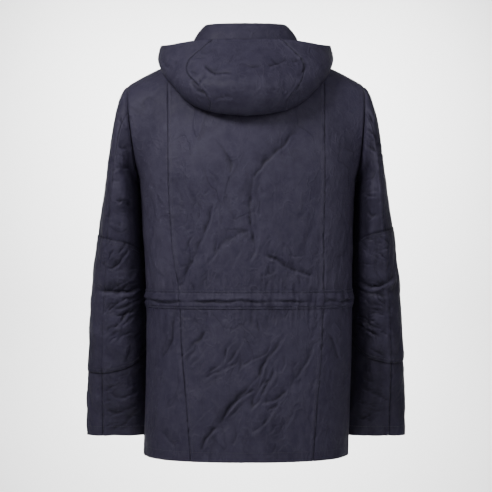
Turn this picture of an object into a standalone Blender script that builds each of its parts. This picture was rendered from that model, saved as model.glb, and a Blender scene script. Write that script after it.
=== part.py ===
"""A hooded, thigh-length jacket of waxed cotton, filled out as it hangs when worn, as closed walls of cloth.

+Z is up, the wearer faces -Y and the wearer's left is +X. The origin is in the middle of the neck opening, at
the height of the neck ends of the shoulder seams. Lengths are in metres and angles in degrees.

Every panel is cut from one of three surfaces that are worked out from sections: the body (rings from hem to
underarm, then columns that run over the shoulders), the sleeves (rings from cuff to armhole) and the collar.
A panel is a grid of points on its surface, given the cloth's thickness inwards. The walls meet at the seams
with a small gap.
"""

import math

import bmesh
import bpy
import mathutils
import numpy as np

CLOTH = 0.0016
SEAM_GAP = 0.0003
LAID_GAP = 0.0003
MITRE_LIMIT = 0.75
SHARP_EDGE = 50.0

LEFT, RIGHT = 1, -1
BACK, FRONT = 1, -1

# Body, from the hem up to the underarm: half widths left and right of the middle, depths behind and in front
# of the side seams, and the power of the rounded section.
BODY_COLUMNS = ("height", "left", "right", "back", "front", "power")
BODY_SECTIONS = (
    (-0.7635, 0.199, 0.199, 0.143, 0.139, 2.3),
    (-0.660, 0.195, 0.203, 0.139, 0.136, 2.3),
    (-0.560, 0.193, 0.206, 0.133, 0.132, 2.3),
    (-0.463, 0.193, 0.207, 0.127, 0.128, 2.3),
    (-0.360, 0.198, 0.208, 0.132, 0.132, 2.35),
    (-0.235, 0.205, 0.213, 0.139, 0.137, 2.4),
)
UNDERARM = -0.235
HEM = -0.7635
HEM_LIFT = 0.003

# Side-back seams: distance from the middle at each height.
SEAM_COLUMNS = ("height", "left", "right")
SEAM_SECTIONS = (
    (-0.7635, 0.102, 0.126),
    (-0.660, 0.110, 0.133),
    (-0.560, 0.119, 0.142),
    (-0.463, 0.124, 0.146),
    (-0.360, 0.138, 0.146),
    (-0.235, 0.145, 0.148),
)
NECK_COLUMN_SHARE = 0.62
FRONT_SEAM_SHARES = (1.0, 0.74, 0.48)
FRONT_EDGE = 0.004

# Shoulder seam and neck seam.
TIP = (0.230, 0.0, -0.051)
SHOULDER_BOW = 0.005
SIDE_BACK_SEAM_TOP = 0.150
NECK_HALF_WIDTH = 0.107
NECK_BACK = 0.062
NECK_FRONT = 0.080
NECK_HEIGHT = 0.005
NECK_FRONT_HEIGHT = -0.050

# How the body's columns leave the underarm level (rise) and reach the shoulder (run out, fall), by place.
RISE = 0.090
ARMHOLE_LEAVE = {BACK: (0.010, 0.075, 0.030), FRONT: (0.004, -0.070, 0.032)}
ARMHOLE_REACH = {BACK: (0.000, 0.085, -0.010), FRONT: (0.000, -0.085, -0.012)}
SHOULDER_REACH = {BACK: (0.075, -0.010), FRONT: (-0.070, -0.012)}
NECK_REACH = {BACK: (0.050, -0.040), FRONT: (-0.035, -0.042)}

# Columns and rows of the body's grid.
SIDE_COLUMNS = 4
SHOULDER_COLUMNS = 3
NECK_PLACES = {BACK: (2.0, 2.2, 2.4, 2.6, 2.8, 3.0), FRONT: (2.0, 2.33, 2.66, 2.92, 3.0)}
BODY_ROW_HEIGHTS = (
    -0.7635, -0.745, -0.717, -0.690, -0.664, -0.638, -0.612, -0.586, -0.560, -0.533, -0.506,
    -0.480, -0.471, -0.463, -0.455, -0.446, -0.422, -0.396, -0.370, -0.344, -0.318, -0.291, -0.263,
)
CHANNEL_ROWS = (11, 15)
ARMHOLE_ROWS = 10

# Sleeve rings: height, gap between body and inner edge, outer edge, front and back, all from the middle, and how
# far the ring's back hangs below its front, per metre of depth.
SLEEVE_COLUMNS = ("height", "gap", "outer", "front", "back", "tilt")
SLEEVE_SECTIONS = (
    (-0.743, -0.010, 0.3212, -0.121, -0.056, -0.06),
    (-0.690, -0.007, 0.3200, -0.119, -0.040, 0.02),
    (-0.620, -0.002, 0.3165, -0.116, -0.018, 0.10),
    (-0.550, 0.001, 0.3110, -0.112, 0.004, 0.14),
    (-0.470, 0.002, 0.3045, -0.106, 0.027, 0.14),
    (-0.400, 0.002, 0.2962, -0.102, 0.048, 0.14),
    (-0.330, 0.002, 0.2868, -0.099, 0.067, 0.14),
    (-0.265, 0.002, 0.2765, -0.097, 0.082, 0.14),
)
CUFF = -0.743
BICEPS = -0.265
SLEEVE_POWER = 2.3
SEAM_TURN = 6.0
CAP_FALL, CAP_FALL_LESS_UNDER = 38.0, 8.0
CAP_SWING = 0.25
CAP_LEAVE, CAP_LEAVE_LESS_UNDER = 0.034, 0.024
CAP_REACH, CAP_REACH_LESS_UNDER = 0.075, 0.066
CAP_ROWS = 6
UPPER_ROWS = 3
PATCH_ROWS = 10
FOREARM_ROWS = 5
BACK_SEAM_COLUMN = 4
FRONT_SEAM_COLUMN = 16
PATCH_COLUMNS = (-3, 9)
PATCH_MIDDLE = 25.0
PATCH_REACH = 125.0
PATCH_EDGES = {LEFT: (-0.337, -0.609), RIGHT: (-0.322, -0.588)}
PATCH_TOP_CURVE = 0.024
PATCH_BOTTOM_CURVE = 0.036
PATCH_BEND_POWER = 3
PATCH_CLOTH = 0.0014

CHANNEL_CLOTH = 0.0012
CHANNEL_SWELL = 0.0016

# Collar: top edge and how its wall leans in.
COLLAR_TOP_HALF_WIDTH = 0.080
COLLAR_TOP_BACK = 0.050
COLLAR_TOP_FRONT = 0.062
COLLAR_TOP = 0.066
COLLAR_BACK_TOP = 0.063
COLLAR_FRONT_TOP = 0.006
COLLAR_ROWS = 4
COLLAR_FOOT_OUT, COLLAR_FOOT_UP = 0.003, 0.022
COLLAR_TOP_OUT, COLLAR_TOP_DOWN = 0.017, 0.014

# Hood lying on the back: for each turn about the neck (0 at the left shoulder, 90 at the middle of the back),
# the distance from the neck's middle and the height where it lies on the body, folds up, bulges and ends.
HOOD_COLUMNS = (
    "turn", "lie_out", "lie_z", "down_out", "down_z", "fold_out", "fold_z", "belly_out", "belly_z", "rim_out", "rim_z",
)
HOOD_SECTIONS = (
    (-62.0, 0.100, -0.047, 0.112, -0.060, 0.120, -0.068, 0.127, -0.056, 0.120, -0.032),
    (-32.0, 0.112, -0.010, 0.130, -0.034, 0.146, -0.046, 0.156, -0.030, 0.150, -0.004),
    (0.0, 0.122, 0.009, 0.142, 0.002, 0.157, -0.0060, 0.1675, 0.003, 0.1645, 0.0225),
    (30.0, 0.112, -0.002, 0.134, -0.034, 0.158, -0.058, 0.176, -0.034, 0.158, 0.0175),
    (50.0, 0.108, -0.016, 0.130, -0.060, 0.154, -0.100, 0.178, -0.060, 0.134, 0.0215),
    (70.0, 0.104, -0.028, 0.128, -0.082, 0.152, -0.118, 0.180, -0.066, 0.112, 0.0230),
    (90.0, 0.100, -0.034, 0.128, -0.092, 0.150, -0.1235, 0.178, -0.066, 0.104, 0.0230),
)
HOOD_MARKS = ("lie", "down", "fold", "belly", "rim")
HOOD_BASE = 0.0020
HOOD_BASE_RISE = 37.0
HOOD_ROWS = 15
HOOD_FRONT_COLUMNS = 2
HOOD_SEAM_COLUMN = 11
HOOD_CLOTH = 0.0018

# Zip: tapes behind the front edges, the chain between them, the slider at the top and its pull tab.
ZIP_TAPE_CLOTH = 0.0008
CHAIN_HALF_WIDTH = 0.0028
CHAIN_THICKNESS = 0.0024
ZIP_TOP_MARGIN = 0.004
ZIP_BOTTOM_MARGIN = 0.010
SLIDER_WIDTH = 0.0076
SLIDER_LENGTH = 0.011
SLIDER_THICKNESS = 0.0022
ARCH_HOLE = 0.0013
ARCH_THICKNESS = 0.0010
ARCH_WIDTH = 0.0020
ARCH_STEPS = 8
ARCH_ROOT = 0.0005
PULL_THICKNESS = 0.0012
PULL_HOLE_HALF_WIDTH = 0.0015
PULL_SHAPE_COLUMNS = ("down", "half_width")
PULL_SHAPE = (
    (-0.0006, 0.0030),
    (0.0006, 0.0030),
    (0.0036, 0.0030),
    (0.0070, 0.0026),
    (0.0220, 0.0034),
    (0.0262, 0.0034),
    (0.0274, 0.0022),
)
PULL_HOLE_ROW = 1

# Largest folds of the back and the fronts. A fold is a soft trough along a straight line.
FOLD_COLUMNS = ("x0", "z0", "x1", "z1", "half_width", "depth")
BACK_FOLDS = (
    (-0.104, -0.139, -0.036, -0.204, 0.013, 0.0060),
    (-0.036, -0.204, -0.015, -0.278, 0.012, 0.0050),
    (-0.015, -0.278, -0.023, -0.374, 0.012, 0.0035),
    (0.066, -0.157, 0.031, -0.210, 0.012, 0.0040),
    (0.031, -0.210, 0.030, -0.268, 0.012, 0.0030),
    (0.066, -0.254, 0.092, -0.383, 0.013, 0.0040),
    (0.092, -0.383, 0.121, -0.440, 0.013, 0.0045),
    (-0.036, -0.374, -0.086, -0.407, 0.013, 0.0040),
    (-0.086, -0.407, -0.137, -0.420, 0.013, 0.0035),
    (-0.017, -0.632, 0.044, -0.693, 0.014, 0.0065),
    (0.044, -0.693, 0.075, -0.745, 0.014, 0.0060),
    (-0.123, -0.549, -0.095, -0.614, 0.013, 0.0040),
    (-0.095, -0.614, -0.026, -0.656, 0.013, 0.0040),
    (0.010, -0.575, 0.084, -0.621, 0.014, 0.0045),
    (0.132, -0.490, 0.146, -0.558, 0.013, 0.0040),
    (0.146, -0.558, 0.164, -0.583, 0.013, 0.0030),
    (-0.156, -0.522, -0.178, -0.568, 0.013, 0.0035),
    (-0.056, -0.700, -0.054, -0.740, 0.013, 0.0035),
    (0.164, -0.706, 0.121, -0.740, 0.013, 0.0030),
)
FRONT_FOLDS = (
    (0.060, -0.150, 0.110, -0.235, 0.014, 0.0045),
    (-0.070, -0.160, -0.120, -0.250, 0.014, 0.0050),
    (0.110, -0.300, 0.060, -0.400, 0.014, 0.0040),
    (-0.060, -0.310, -0.100, -0.420, 0.014, 0.0035),
    (0.070, -0.520, 0.130, -0.630, 0.014, 0.0045),
    (-0.120, -0.500, -0.080, -0.600, 0.014, 0.0045),
    (-0.050, -0.620, -0.110, -0.710, 0.014, 0.0050),
    (0.050, -0.640, 0.040, -0.730, 0.014, 0.0040),
)
FOLD_FADE = 0.025

# Gathers that the waist channel draws in: how deep and how far above and below it they run.
GATHER_DEPTH = 0.0016
GATHER_REACH = 0.0225
GATHER_LEAST, GATHER_SPREAD = 0.75, 0.45
GATHER_BEATS = (61.0, 23.0)

# Folds round the sleeves: height at the sleeve's middle, fall per metre outwards, turn of the fold's middle and
# how far it runs to each side of that.
SLEEVE_FOLD_COLUMNS = ("height", "slope", "turn", "half_turn", "half_width", "depth")
SLEEVE_FOLDS = (
    (-0.170, 0.5, 95.0, 55.0, 0.013, 0.0035),
    (-0.225, 0.7, 120.0, 60.0, 0.013, 0.0040),
    (-0.300, 0.3, 110.0, 60.0, 0.014, 0.0030),
    (-0.405, 0.2, 100.0, 60.0, 0.014, 0.0040),
    (-0.448, 0.0, 95.0, 85.0, 0.013, 0.0065),
    (-0.490, -0.3, 120.0, 70.0, 0.013, 0.0045),
    (-0.532, -0.4, 110.0, 65.0, 0.013, 0.0040),
    (-0.580, -0.5, 120.0, 60.0, 0.014, 0.0035),
    (-0.640, -0.3, 250.0, 70.0, 0.014, 0.0035),
    (-0.695, -0.3, 130.0, 60.0, 0.014, 0.0035),
    (-0.430, 0.2, 270.0, 60.0, 0.014, 0.0055),
    (-0.500, 0.3, 280.0, 60.0, 0.014, 0.0045),
)


def column(table, names, name):
    """One named column of a table of sections."""
    return np.array([row[names.index(name)] for row in table], float)


def smooth(where, stations, values):
    """Value at each place on a smooth curve through the stations' values."""
    slopes = np.gradient(values, stations)
    place = np.clip(where, stations[0], stations[-1])
    before = np.clip(np.searchsorted(stations, place, side="right") - 1, 0, len(stations) - 2)
    span = stations[before + 1] - stations[before]
    t = (place - stations[before]) / span
    start = values[before] * (1 + 2 * t) + slopes[before] * span * t
    end = values[before + 1] * (3 - 2 * t) - slopes[before + 1] * span * (1 - t)
    return start * (1 - t) ** 2 + end * t**2


def section(where, table, names, name, key):
    """A named size of the sections at each place along their key column."""
    return smooth(where, column(table, names, key), column(table, names, name))


def bezier(t, start, leave, reach, end):
    """Points on a cubic curve, for arrays of t and of control points."""
    t = np.asarray(t)[..., None]
    return start * (1 - t) ** 3 + 3 * leave * t * (1 - t) ** 2 + 3 * reach * t**2 * (1 - t) + end * t**3


def unit(vectors):
    """The vectors at length 1."""
    return vectors / np.linalg.norm(vectors, axis=-1, keepdims=True)


# --- body -------------------------------------------------------------------------------------------------


def half_width(side, height):
    """Half width of the body on one side."""
    name = "left" if side == LEFT else "right"
    return section(height, BODY_SECTIONS, BODY_COLUMNS, name, "height")


def turn_of(share, power):
    """Angle on a rounded section of the point at that share of its half width."""
    return np.arccos(np.clip(share, 0, 1) ** (power / 2))


def body_turn(side, face, place, height):
    """Angle on the ring for a place that runs 0 side seam, 1 side-back seam, 2 neck column, 3 middle."""
    power = section(height, BODY_SECTIONS, BODY_COLUMNS, "power", "height")
    width = half_width(side, height)
    if face == BACK:
        name = "left" if side == LEFT else "right"
        seam = section(height, SEAM_SECTIONS, SEAM_COLUMNS, name, "height") / width
        marks = (np.zeros_like(seam) + 1, seam, seam * NECK_COLUMN_SHARE, np.zeros_like(seam))
    else:
        edge = FRONT_EDGE / width
        marks = [np.zeros_like(edge) + share for share in FRONT_SEAM_SHARES] + [edge]
    turns = [turn_of(mark, power) for mark in marks]
    step = np.clip(np.floor(place).astype(int), 0, 2)
    low = np.choose(step, turns[:3])
    high = np.choose(step, turns[1:])
    return low + (high - low) * (place - step), power


def body_ring(side, face, place, height):
    """Points of the body at or below the underarm."""
    turn, power = body_turn(side, face, place, height)
    depth = section(height, BODY_SECTIONS, BODY_COLUMNS, "back" if face == BACK else "front", "height")
    across = side * half_width(side, height) * np.cos(turn) ** (2 / power)
    along = face * depth * np.sin(turn) ** (2 / power)
    lift = HEM_LIFT * np.clip((UNDERARM - height) / (UNDERARM - HEM), 0, 1) ** 2
    return np.stack([across, along, height + lift * np.sin(turn) ** 2], axis=-1)


def body_top(side, face, place):
    """Points of the shoulder seam (place 0 to 2) and the neck seam (place 2 to 3)."""
    tip_across, tip_along, tip_height = TIP
    seam_share = np.interp(place, (0, 1, 2), (tip_across, SIDE_BACK_SEAM_TOP, NECK_HALF_WIDTH))
    fall = (seam_share - NECK_HALF_WIDTH) / (tip_across - NECK_HALF_WIDTH)
    height = NECK_HEIGHT + (tip_height - NECK_HEIGHT) * fall + SHOULDER_BOW * np.sin(math.pi * fall)
    shoulder = np.stack([side * seam_share, tip_along * fall, height], axis=-1)
    turn = np.clip(place - 2, 0, 1) * math.pi / 2
    if face == FRONT:
        turn = turn * (1 - math.asin(FRONT_EDGE / NECK_HALF_WIDTH) / (math.pi / 2))
    depth = NECK_BACK if face == BACK else NECK_FRONT
    middle_height = NECK_HEIGHT if face == BACK else NECK_FRONT_HEIGHT
    neck = np.stack(
        [
            side * NECK_HALF_WIDTH * np.cos(turn),
            face * depth * np.sin(turn),
            NECK_HEIGHT + (middle_height - NECK_HEIGHT) * np.sin(turn) ** 2,
        ],
        axis=-1,
    )
    return np.where((place > 2)[..., None], neck, shoulder)


def body_points(side, face, place, climb):
    """Points of one quarter of the body. climb is a height below the underarm, and above it 0 to 1."""
    lower = body_ring(side, face, place, np.minimum(climb, UNDERARM))
    start = body_ring(side, face, place, np.full_like(climb, UNDERARM))
    end = body_top(side, face, place)
    mirror = np.array([side, 1, 1])
    at_arm = (np.clip(1 - place, 0, 1) ** 2)[..., None]
    at_neck = np.clip(place - 2, 0, 1)[..., None]
    rise = np.array([0, 0, RISE])
    leave = start + rise * (1 - at_arm) + mirror * np.array(ARMHOLE_LEAVE[face]) * at_arm
    shoulder_reach = np.array([0, *SHOULDER_REACH[face]])
    neck_reach = np.array([0, *NECK_REACH[face]])
    inner_reach = shoulder_reach * (1 - at_neck) + neck_reach * at_neck
    reach = end + inner_reach * (1 - at_arm) + np.array(ARMHOLE_REACH[face]) * at_arm
    upper = bezier(np.clip(climb, 0, 1), start, leave, reach, end)
    return np.where((climb <= UNDERARM)[..., None], lower, upper)


def fold_depth(points, folds):
    """Depth at each point of the folds of one face of the body."""
    depth = np.zeros(points.shape[:-1])
    flat = points[..., (0, 2)]
    for row in folds:
        fold = dict(zip(FOLD_COLUMNS, row))
        start = np.array([fold["x0"], fold["z0"]])
        run = np.array([fold["x1"], fold["z1"]]) - start
        share = (flat - start) @ run / (run @ run)
        nearest = start + np.clip(share, 0, 1)[..., None] * run
        away = np.linalg.norm(flat - nearest, axis=-1)
        depth += fold["depth"] * np.exp(-((away / fold["half_width"]) ** 2))
    return depth


def gather_depth(points):
    """Small waves along the waist channel, of uneven depth, fading above and below it."""
    middle = (BODY_ROW_HEIGHTS[CHANNEL_ROWS[0]] + BODY_ROW_HEIGHTS[CHANNEL_ROWS[1]]) / 2
    half = (BODY_ROW_HEIGHTS[CHANNEL_ROWS[1]] - BODY_ROW_HEIGHTS[CHANNEL_ROWS[0]]) / 2
    away = np.abs(points[..., 2] - middle)
    near = np.exp(-(((away - half) / GATHER_REACH) ** 2)) * (away > half)
    wave = np.where(np.arange(points.shape[1]) % 2 == 0, 1.0, -1.0)
    fast, slow = (points[..., 0] * beat for beat in GATHER_BEATS)
    uneven = GATHER_LEAST + GATHER_SPREAD * np.sin(fast) * np.cos(slow)
    return GATHER_DEPTH * wave * uneven * near


def quarter_places(face):
    """Places of the columns of one quarter of the body, from the side seam to the middle."""
    side_part = np.linspace(0, 1, SIDE_COLUMNS + 1)
    shoulder_part = np.linspace(1, 2, SHOULDER_COLUMNS + 1)
    return np.concatenate([side_part, shoulder_part[1:], NECK_PLACES[face][1:]])


def body_climbs():
    """Heights of the rows up to the underarm, then shares of the way to the top."""
    shares = np.linspace(0, 1, ARMHOLE_ROWS + 1)[1:]
    return np.concatenate([BODY_ROW_HEIGHTS, [UNDERARM], shares])


def body_quarter(side, face):
    """Grid of one quarter of the body: rows from the hem up, columns the way that faces outwards."""
    place, climb = np.meshgrid(quarter_places(face), body_climbs())
    points = body_points(side, face, place, climb)
    return points if side == face else points[:, ::-1]


# --- sleeves ----------------------------------------------------------------------------------------------


def sleeve_size(side, height):
    """Middle and half sizes of the sleeve's ring at each height."""
    gap, outer, front, back = (
        section(height, SLEEVE_SECTIONS, SLEEVE_COLUMNS, name, "height") for name in SLEEVE_COLUMNS[1:5]
    )
    inner = half_width(side, height) + gap
    return (inner + outer) / 2, (outer - inner) / 2, (front + back) / 2, (back - front) / 2


def sleeve_ring(side, turn, height):
    """Points of the sleeve below the armhole. Turn is 0 outside, 90 behind and 180 next to the body."""
    middle_x, half_x, middle_y, half_y = sleeve_size(side, height)
    angle = np.radians(turn - SEAM_TURN * np.sin(np.radians(turn)))
    cos, sin = np.cos(angle), np.sin(angle)
    across = middle_x + half_x * np.sign(cos) * np.abs(cos) ** (2 / SLEEVE_POWER)
    along = half_y * np.sign(sin) * np.abs(sin) ** (2 / SLEEVE_POWER)
    tilt = section(height, SLEEVE_SECTIONS, SLEEVE_COLUMNS, "tilt", "height")
    return np.stack([side * across, middle_y + along, height - tilt * along], axis=-1)


def armhole(side, turn):
    """Points of the armhole seam at each turn, behind from 0 to 180 and in front from 180 to 360."""
    behind = body_points(side, BACK, np.zeros_like(turn), np.clip(1 - turn / 180, 1e-9, 1))
    ahead = body_points(side, FRONT, np.zeros_like(turn), np.clip(turn / 180 - 1, 1e-9, 1))
    return np.where((turn <= 180)[..., None], behind, ahead)


def cap_direction(side, turn):
    """Way in which the sleeve leaves the armhole: out and down, more down at the top."""
    under = (1 - np.cos(np.radians(turn))) / 2
    fall = np.radians(CAP_FALL - CAP_FALL_LESS_UNDER * under)
    way = np.stack([side * np.cos(fall), CAP_SWING * np.sin(np.radians(turn)), -np.sin(fall)], axis=-1)
    return unit(way), under


def sleeve_cap(side, turn, share):
    """Points of the sleeve between the armhole (share 0) and the first ring below it (share 1)."""
    start = armhole(side, turn)
    end = sleeve_ring(side, turn, np.full_like(turn, BICEPS))
    below = sleeve_ring(side, turn, np.full_like(turn, BICEPS - 0.01))
    way, under = cap_direction(side, turn)
    leave = start + way * (CAP_LEAVE - CAP_LEAVE_LESS_UNDER * under)[..., None]
    reach = end - unit(below - end) * (CAP_REACH - CAP_REACH_LESS_UNDER * under)[..., None]
    return bezier(share, start, leave, reach, end)


def patch_edge(side, turn, top):
    """Height of the upper or lower edge of the elbow patch at each turn."""
    upper, lower = PATCH_EDGES[side]
    away = np.abs((turn + 180 - PATCH_MIDDLE) % 360 - 180) / PATCH_REACH
    bend = np.minimum(away, 1.2) ** PATCH_BEND_POWER
    return upper - PATCH_TOP_CURVE * bend if top else lower + PATCH_BOTTOM_CURVE * bend


def sleeve_grid(side):
    """Grid of a whole sleeve: rows from the cuff to the armhole, columns all round."""
    turns = np.linspace(0, 360, 2 * ARMHOLE_ROWS + 1)
    top, bottom = patch_edge(side, turns, True), patch_edge(side, turns, False)
    marks = [np.full_like(turns, CUFF), bottom, top, np.full_like(turns, BICEPS)]
    rows = []
    for low, high, count in zip(marks, marks[1:], (FOREARM_ROWS, PATCH_ROWS, UPPER_ROWS)):
        rows += [sleeve_ring(side, turns, low + (high - low) * k / count) for k in range(count)]
    rows += [sleeve_cap(side, turns, np.full_like(turns, 1 - k / CAP_ROWS)) for k in range(CAP_ROWS + 1)]
    points = np.stack(rows)
    depth = sleeve_fold_depth(points, turns)
    points = points - outward(points, side == LEFT) * depth[..., None]
    return points if side == LEFT else points[:, ::-1]


def sleeve_fold_depth(points, turns):
    """Depth of the folds round a sleeve, none at the armhole."""
    depth = np.zeros(points.shape[:-1])
    middle = (points[..., 0].max(axis=1) + points[..., 0].min(axis=1))[:, None] / 2
    out = np.abs(points[..., 0]) - np.abs(middle)
    for row in SLEEVE_FOLDS:
        fold = dict(zip(SLEEVE_FOLD_COLUMNS, row))
        away = (turns + 180 - fold["turn"]) % 360 - 180
        round_fade = np.clip(1 - (away / fold["half_turn"]) ** 2, 0, 1)
        above = points[..., 2] - fold["height"] + fold["slope"] * out
        depth += fold["depth"] * round_fade * np.exp(-((above / fold["half_width"]) ** 2))
    rows = points.shape[0]
    row_fade = np.clip((rows - 1 - np.arange(rows)) / 2, 0, 1)[:, None]
    return depth * row_fade


# --- collar and hood --------------------------------------------------------------------------------------


def neck_turns():
    """Places of the neck seam's corners round the neck, from the left front edge over the back to the right."""
    front, back = NECK_PLACES[FRONT], NECK_PLACES[BACK]
    left = [(LEFT, FRONT, place) for place in front[:0:-1]] + [(LEFT, BACK, place) for place in back[:-1]]
    right = [(RIGHT, BACK, place) for place in back[:0:-1]] + [(RIGHT, FRONT, place) for place in front]
    return left + right


def neck_curve():
    """The neck seam's corners, in the order of neck_turns."""
    return np.array([body_top(side, face, np.array([place]))[0] for side, face, place in neck_turns()])


def collar_grid():
    """Grid of the collar: rows up from the neck seam, columns round the neck."""
    base = neck_curve()
    back = base[:, 1] > 0
    depth = np.where(back, COLLAR_TOP_BACK / NECK_BACK, COLLAR_TOP_FRONT / NECK_FRONT)
    behind = (base[:, 1] / np.where(back, NECK_BACK, NECK_FRONT)) ** 2
    top_height = COLLAR_TOP + np.where(back, COLLAR_BACK_TOP - COLLAR_TOP, COLLAR_FRONT_TOP - COLLAR_TOP) * behind
    shrink = COLLAR_TOP_HALF_WIDTH / NECK_HALF_WIDTH
    front_edge = ~back & (np.abs(base[:, 0]) <= FRONT_EDGE * 1.01)
    top_across = np.where(front_edge, base[:, 0], base[:, 0] * shrink)
    top = np.stack([top_across, base[:, 1] * depth, top_height], axis=-1)
    way_out = base * np.array([1, 1, 0])
    way_out = unit(way_out) * np.where(front_edge, 0, 1)[:, None]
    way_out[front_edge] = (0, -1, 0)
    leave = base + way_out * COLLAR_FOOT_OUT + (0, 0, COLLAR_FOOT_UP)
    reach = top + way_out * COLLAR_TOP_OUT - (0, 0, COLLAR_TOP_DOWN)
    rows = [bezier(np.full(len(base), k / COLLAR_ROWS), base, leave, reach, top) for k in range(COLLAR_ROWS + 1)]
    return np.stack(rows)


def hood_base(neck):
    """Start of the hood along the neck seam: its corners, with one more between each two."""
    turns = neck_turns()
    first = len(NECK_PLACES[FRONT]) - 1 - HOOD_FRONT_COLUMNS
    kept = neck[first : len(turns) - first]
    fine = np.empty((2 * len(kept) - 1, 3))
    fine[::2] = kept
    fine[1::2] = (kept[:-1] + kept[1:]) / 2
    return fine


def spline(points, count):
    """count + 1 points on a smooth curve through the given points, evenly spaced along it."""
    padded = [2 * points[0] - points[1], *points, 2 * points[-1] - points[-2]]
    fine = []
    for a, b, c, d in zip(padded, padded[1:], padded[2:], padded[3:]):
        for t in np.linspace(0, 1, 12, endpoint=False):
            fine.append(
                0.5 * (2 * b + (c - a) * t + (2 * a - 5 * b + 4 * c - d) * t**2 + (3 * b - a - 3 * c + d) * t**3)
            )
    fine = np.array([*fine, points[-1]])
    run = np.concatenate([[0], np.cumsum(np.linalg.norm(np.diff(fine, axis=0), axis=1))])
    even = np.linspace(0, run[-1], count + 1)
    return np.stack([np.interp(even, run, fine[:, k]) for k in range(3)], axis=-1)


def hood_grid():
    """Grid of the hood: rows from the neck seam out, down, round the fold and up to the rim."""
    base = hood_base(neck_curve())
    columns = []
    for start in base:
        plan = math.degrees(math.atan2(start[1], abs(start[0])))
        sizes = {
            name: float(section(plan, HOOD_SECTIONS, HOOD_COLUMNS, name, "turn")) for name in HOOD_COLUMNS[1:]
        }
        way = np.array([start[0], start[1], 0]) / math.hypot(start[0], start[1])
        rise = math.radians(HOOD_BASE_RISE)
        first = start + (way * math.cos(rise) + np.array([0, 0, math.sin(rise)])) * HOOD_BASE
        knots = [first]
        for mark in HOOD_MARKS:
            knots.append(way * sizes[mark + "_out"] + np.array([0, 0, sizes[mark + "_z"]]))
        columns.append(spline(knots, HOOD_ROWS))
    return np.stack(columns, axis=1)


# --- walls ------------------------------------------------------------------------------------------------


def outward(grid, outwards=True):
    """Unit normals of a grid's points, from the cells around each."""
    right = np.diff(grid, axis=1)
    up = np.diff(grid, axis=0)
    normals = np.zeros_like(grid)
    cell = np.cross(right[:-1], up[:, :-1]) + np.cross(right[1:], up[:, 1:])
    normals[:-1, :-1] += cell
    normals[1:, :-1] += cell
    normals[:-1, 1:] += cell
    normals[1:, 1:] += cell
    if np.allclose(grid[:, 0], grid[:, -1]):
        normals[:, 0] += normals[:, -1]
        normals[:, -1] = normals[:, 0]
    return unit(normals) * (1 if outwards else -1)


def corner_key(point):
    """A point rounded, so that the same corner on two grids is found again."""
    return tuple(np.round(point, 6) + 0.0)


def shared_normals(grids):
    """Unit normals of every grid's points, averaged where grids meet at a seam."""
    total = {}
    own = {name: outward(grid) for name, grid in grids.items()}
    for name, grid in grids.items():
        seen = {}
        for point, normal in zip(grid.reshape(-1, 3), own[name].reshape(-1, 3)):
            seen[corner_key(point)] = normal
        for key, normal in seen.items():
            total[key] = total.get(key, np.zeros(3)) + normal
    shared = {}
    for name, grid in grids.items():
        summed = np.array([total[corner_key(point)] for point in grid.reshape(-1, 3)]).reshape(grid.shape)
        length = np.linalg.norm(summed, axis=-1, keepdims=True)
        mean = summed / np.maximum(length, 1e-9)
        agree = (mean * own[name]).sum(axis=-1, keepdims=True) > MITRE_LIMIT
        shared[name] = np.where(agree, mean, own[name])
    return shared


def square_to(edge, inner):
    """Unit ways from an edge's points towards the next line of points, square to the edge."""
    along = unit(np.gradient(edge, axis=0))
    way = inner - edge
    return unit(way - along * (way * along).sum(axis=-1, keepdims=True))


def drawn_in(grid, amount=SEAM_GAP / 2):
    """A grid whose outer rows and columns are moved inwards along the cloth."""
    moved = grid.copy()
    moved[0] += square_to(grid[0], grid[1]) * amount
    moved[-1] += square_to(grid[-1], grid[-2]) * amount
    moved[:, 0] += square_to(grid[:, 0], grid[:, 1]) * amount
    moved[:, -1] += square_to(grid[:, -1], grid[:, -2]) * amount
    return moved


def material(name, color, roughness, metallic=0.0):
    """A plain finish."""
    made = bpy.data.materials.new(name)
    made.use_nodes = True
    shader = made.node_tree.nodes["Principled BSDF"]
    shader.inputs["Base Color"].default_value = (*color, 1.0)
    shader.inputs["Roughness"].default_value = roughness
    shader.inputs["Metallic"].default_value = metallic
    return made


def finish(name, bm, finish_material):
    """Makes an object of a closed mesh, with triangles, smooth but for its sharp edges."""
    bmesh.ops.triangulate(bm, faces=bm.faces[:], quad_method="FIXED")
    mesh = bpy.data.meshes.new(name)
    bm.to_mesh(mesh)
    bm.free()
    mesh.materials.append(finish_material)
    mesh.shade_smooth()
    mesh.set_sharp_from_angle(angle=math.radians(SHARP_EDGE))
    made = bpy.data.objects.new(name, mesh)
    bpy.context.scene.collection.objects.link(made)
    return made


def wall(name, outer, inner, finish_material):
    """A closed wall between two grids of points of one size, the outer one facing outwards."""
    rows, columns = outer.shape[:2]
    bm = bmesh.new()
    bmesh.ops.create_grid(bm, x_segments=columns - 1, y_segments=rows - 1, size=1)
    bmesh.ops.triangulate(bm, faces=bm.faces[:], quad_method="FIXED")
    copied = bmesh.ops.duplicate(bm, geom=bm.verts[:] + bm.edges[:] + bm.faces[:])["geom"]
    inner_corners = [part for part in copied if isinstance(part, bmesh.types.BMVert)]
    inner_faces = [part for part in copied if isinstance(part, bmesh.types.BMFace)]
    bmesh.ops.translate(bm, verts=inner_corners, vec=(0, 0, -0.01))
    bmesh.ops.reverse_faces(bm, faces=inner_faces)
    bmesh.ops.bridge_loops(bm, edges=[edge for edge in bm.edges if edge.is_boundary])
    for corner in bm.verts:
        place = round((corner.co.x + 1) / 2 * (columns - 1))
        row = round((corner.co.y + 1) / 2 * (rows - 1))
        skin = outer if corner.co.z > -0.005 else inner
        corner.co = skin[row, place]
    return finish(name, bm, finish_material)


def clear_scene():
    """Removes whatever the scene holds."""
    for thing in list(bpy.data.objects):
        bpy.data.objects.remove(thing)


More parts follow.
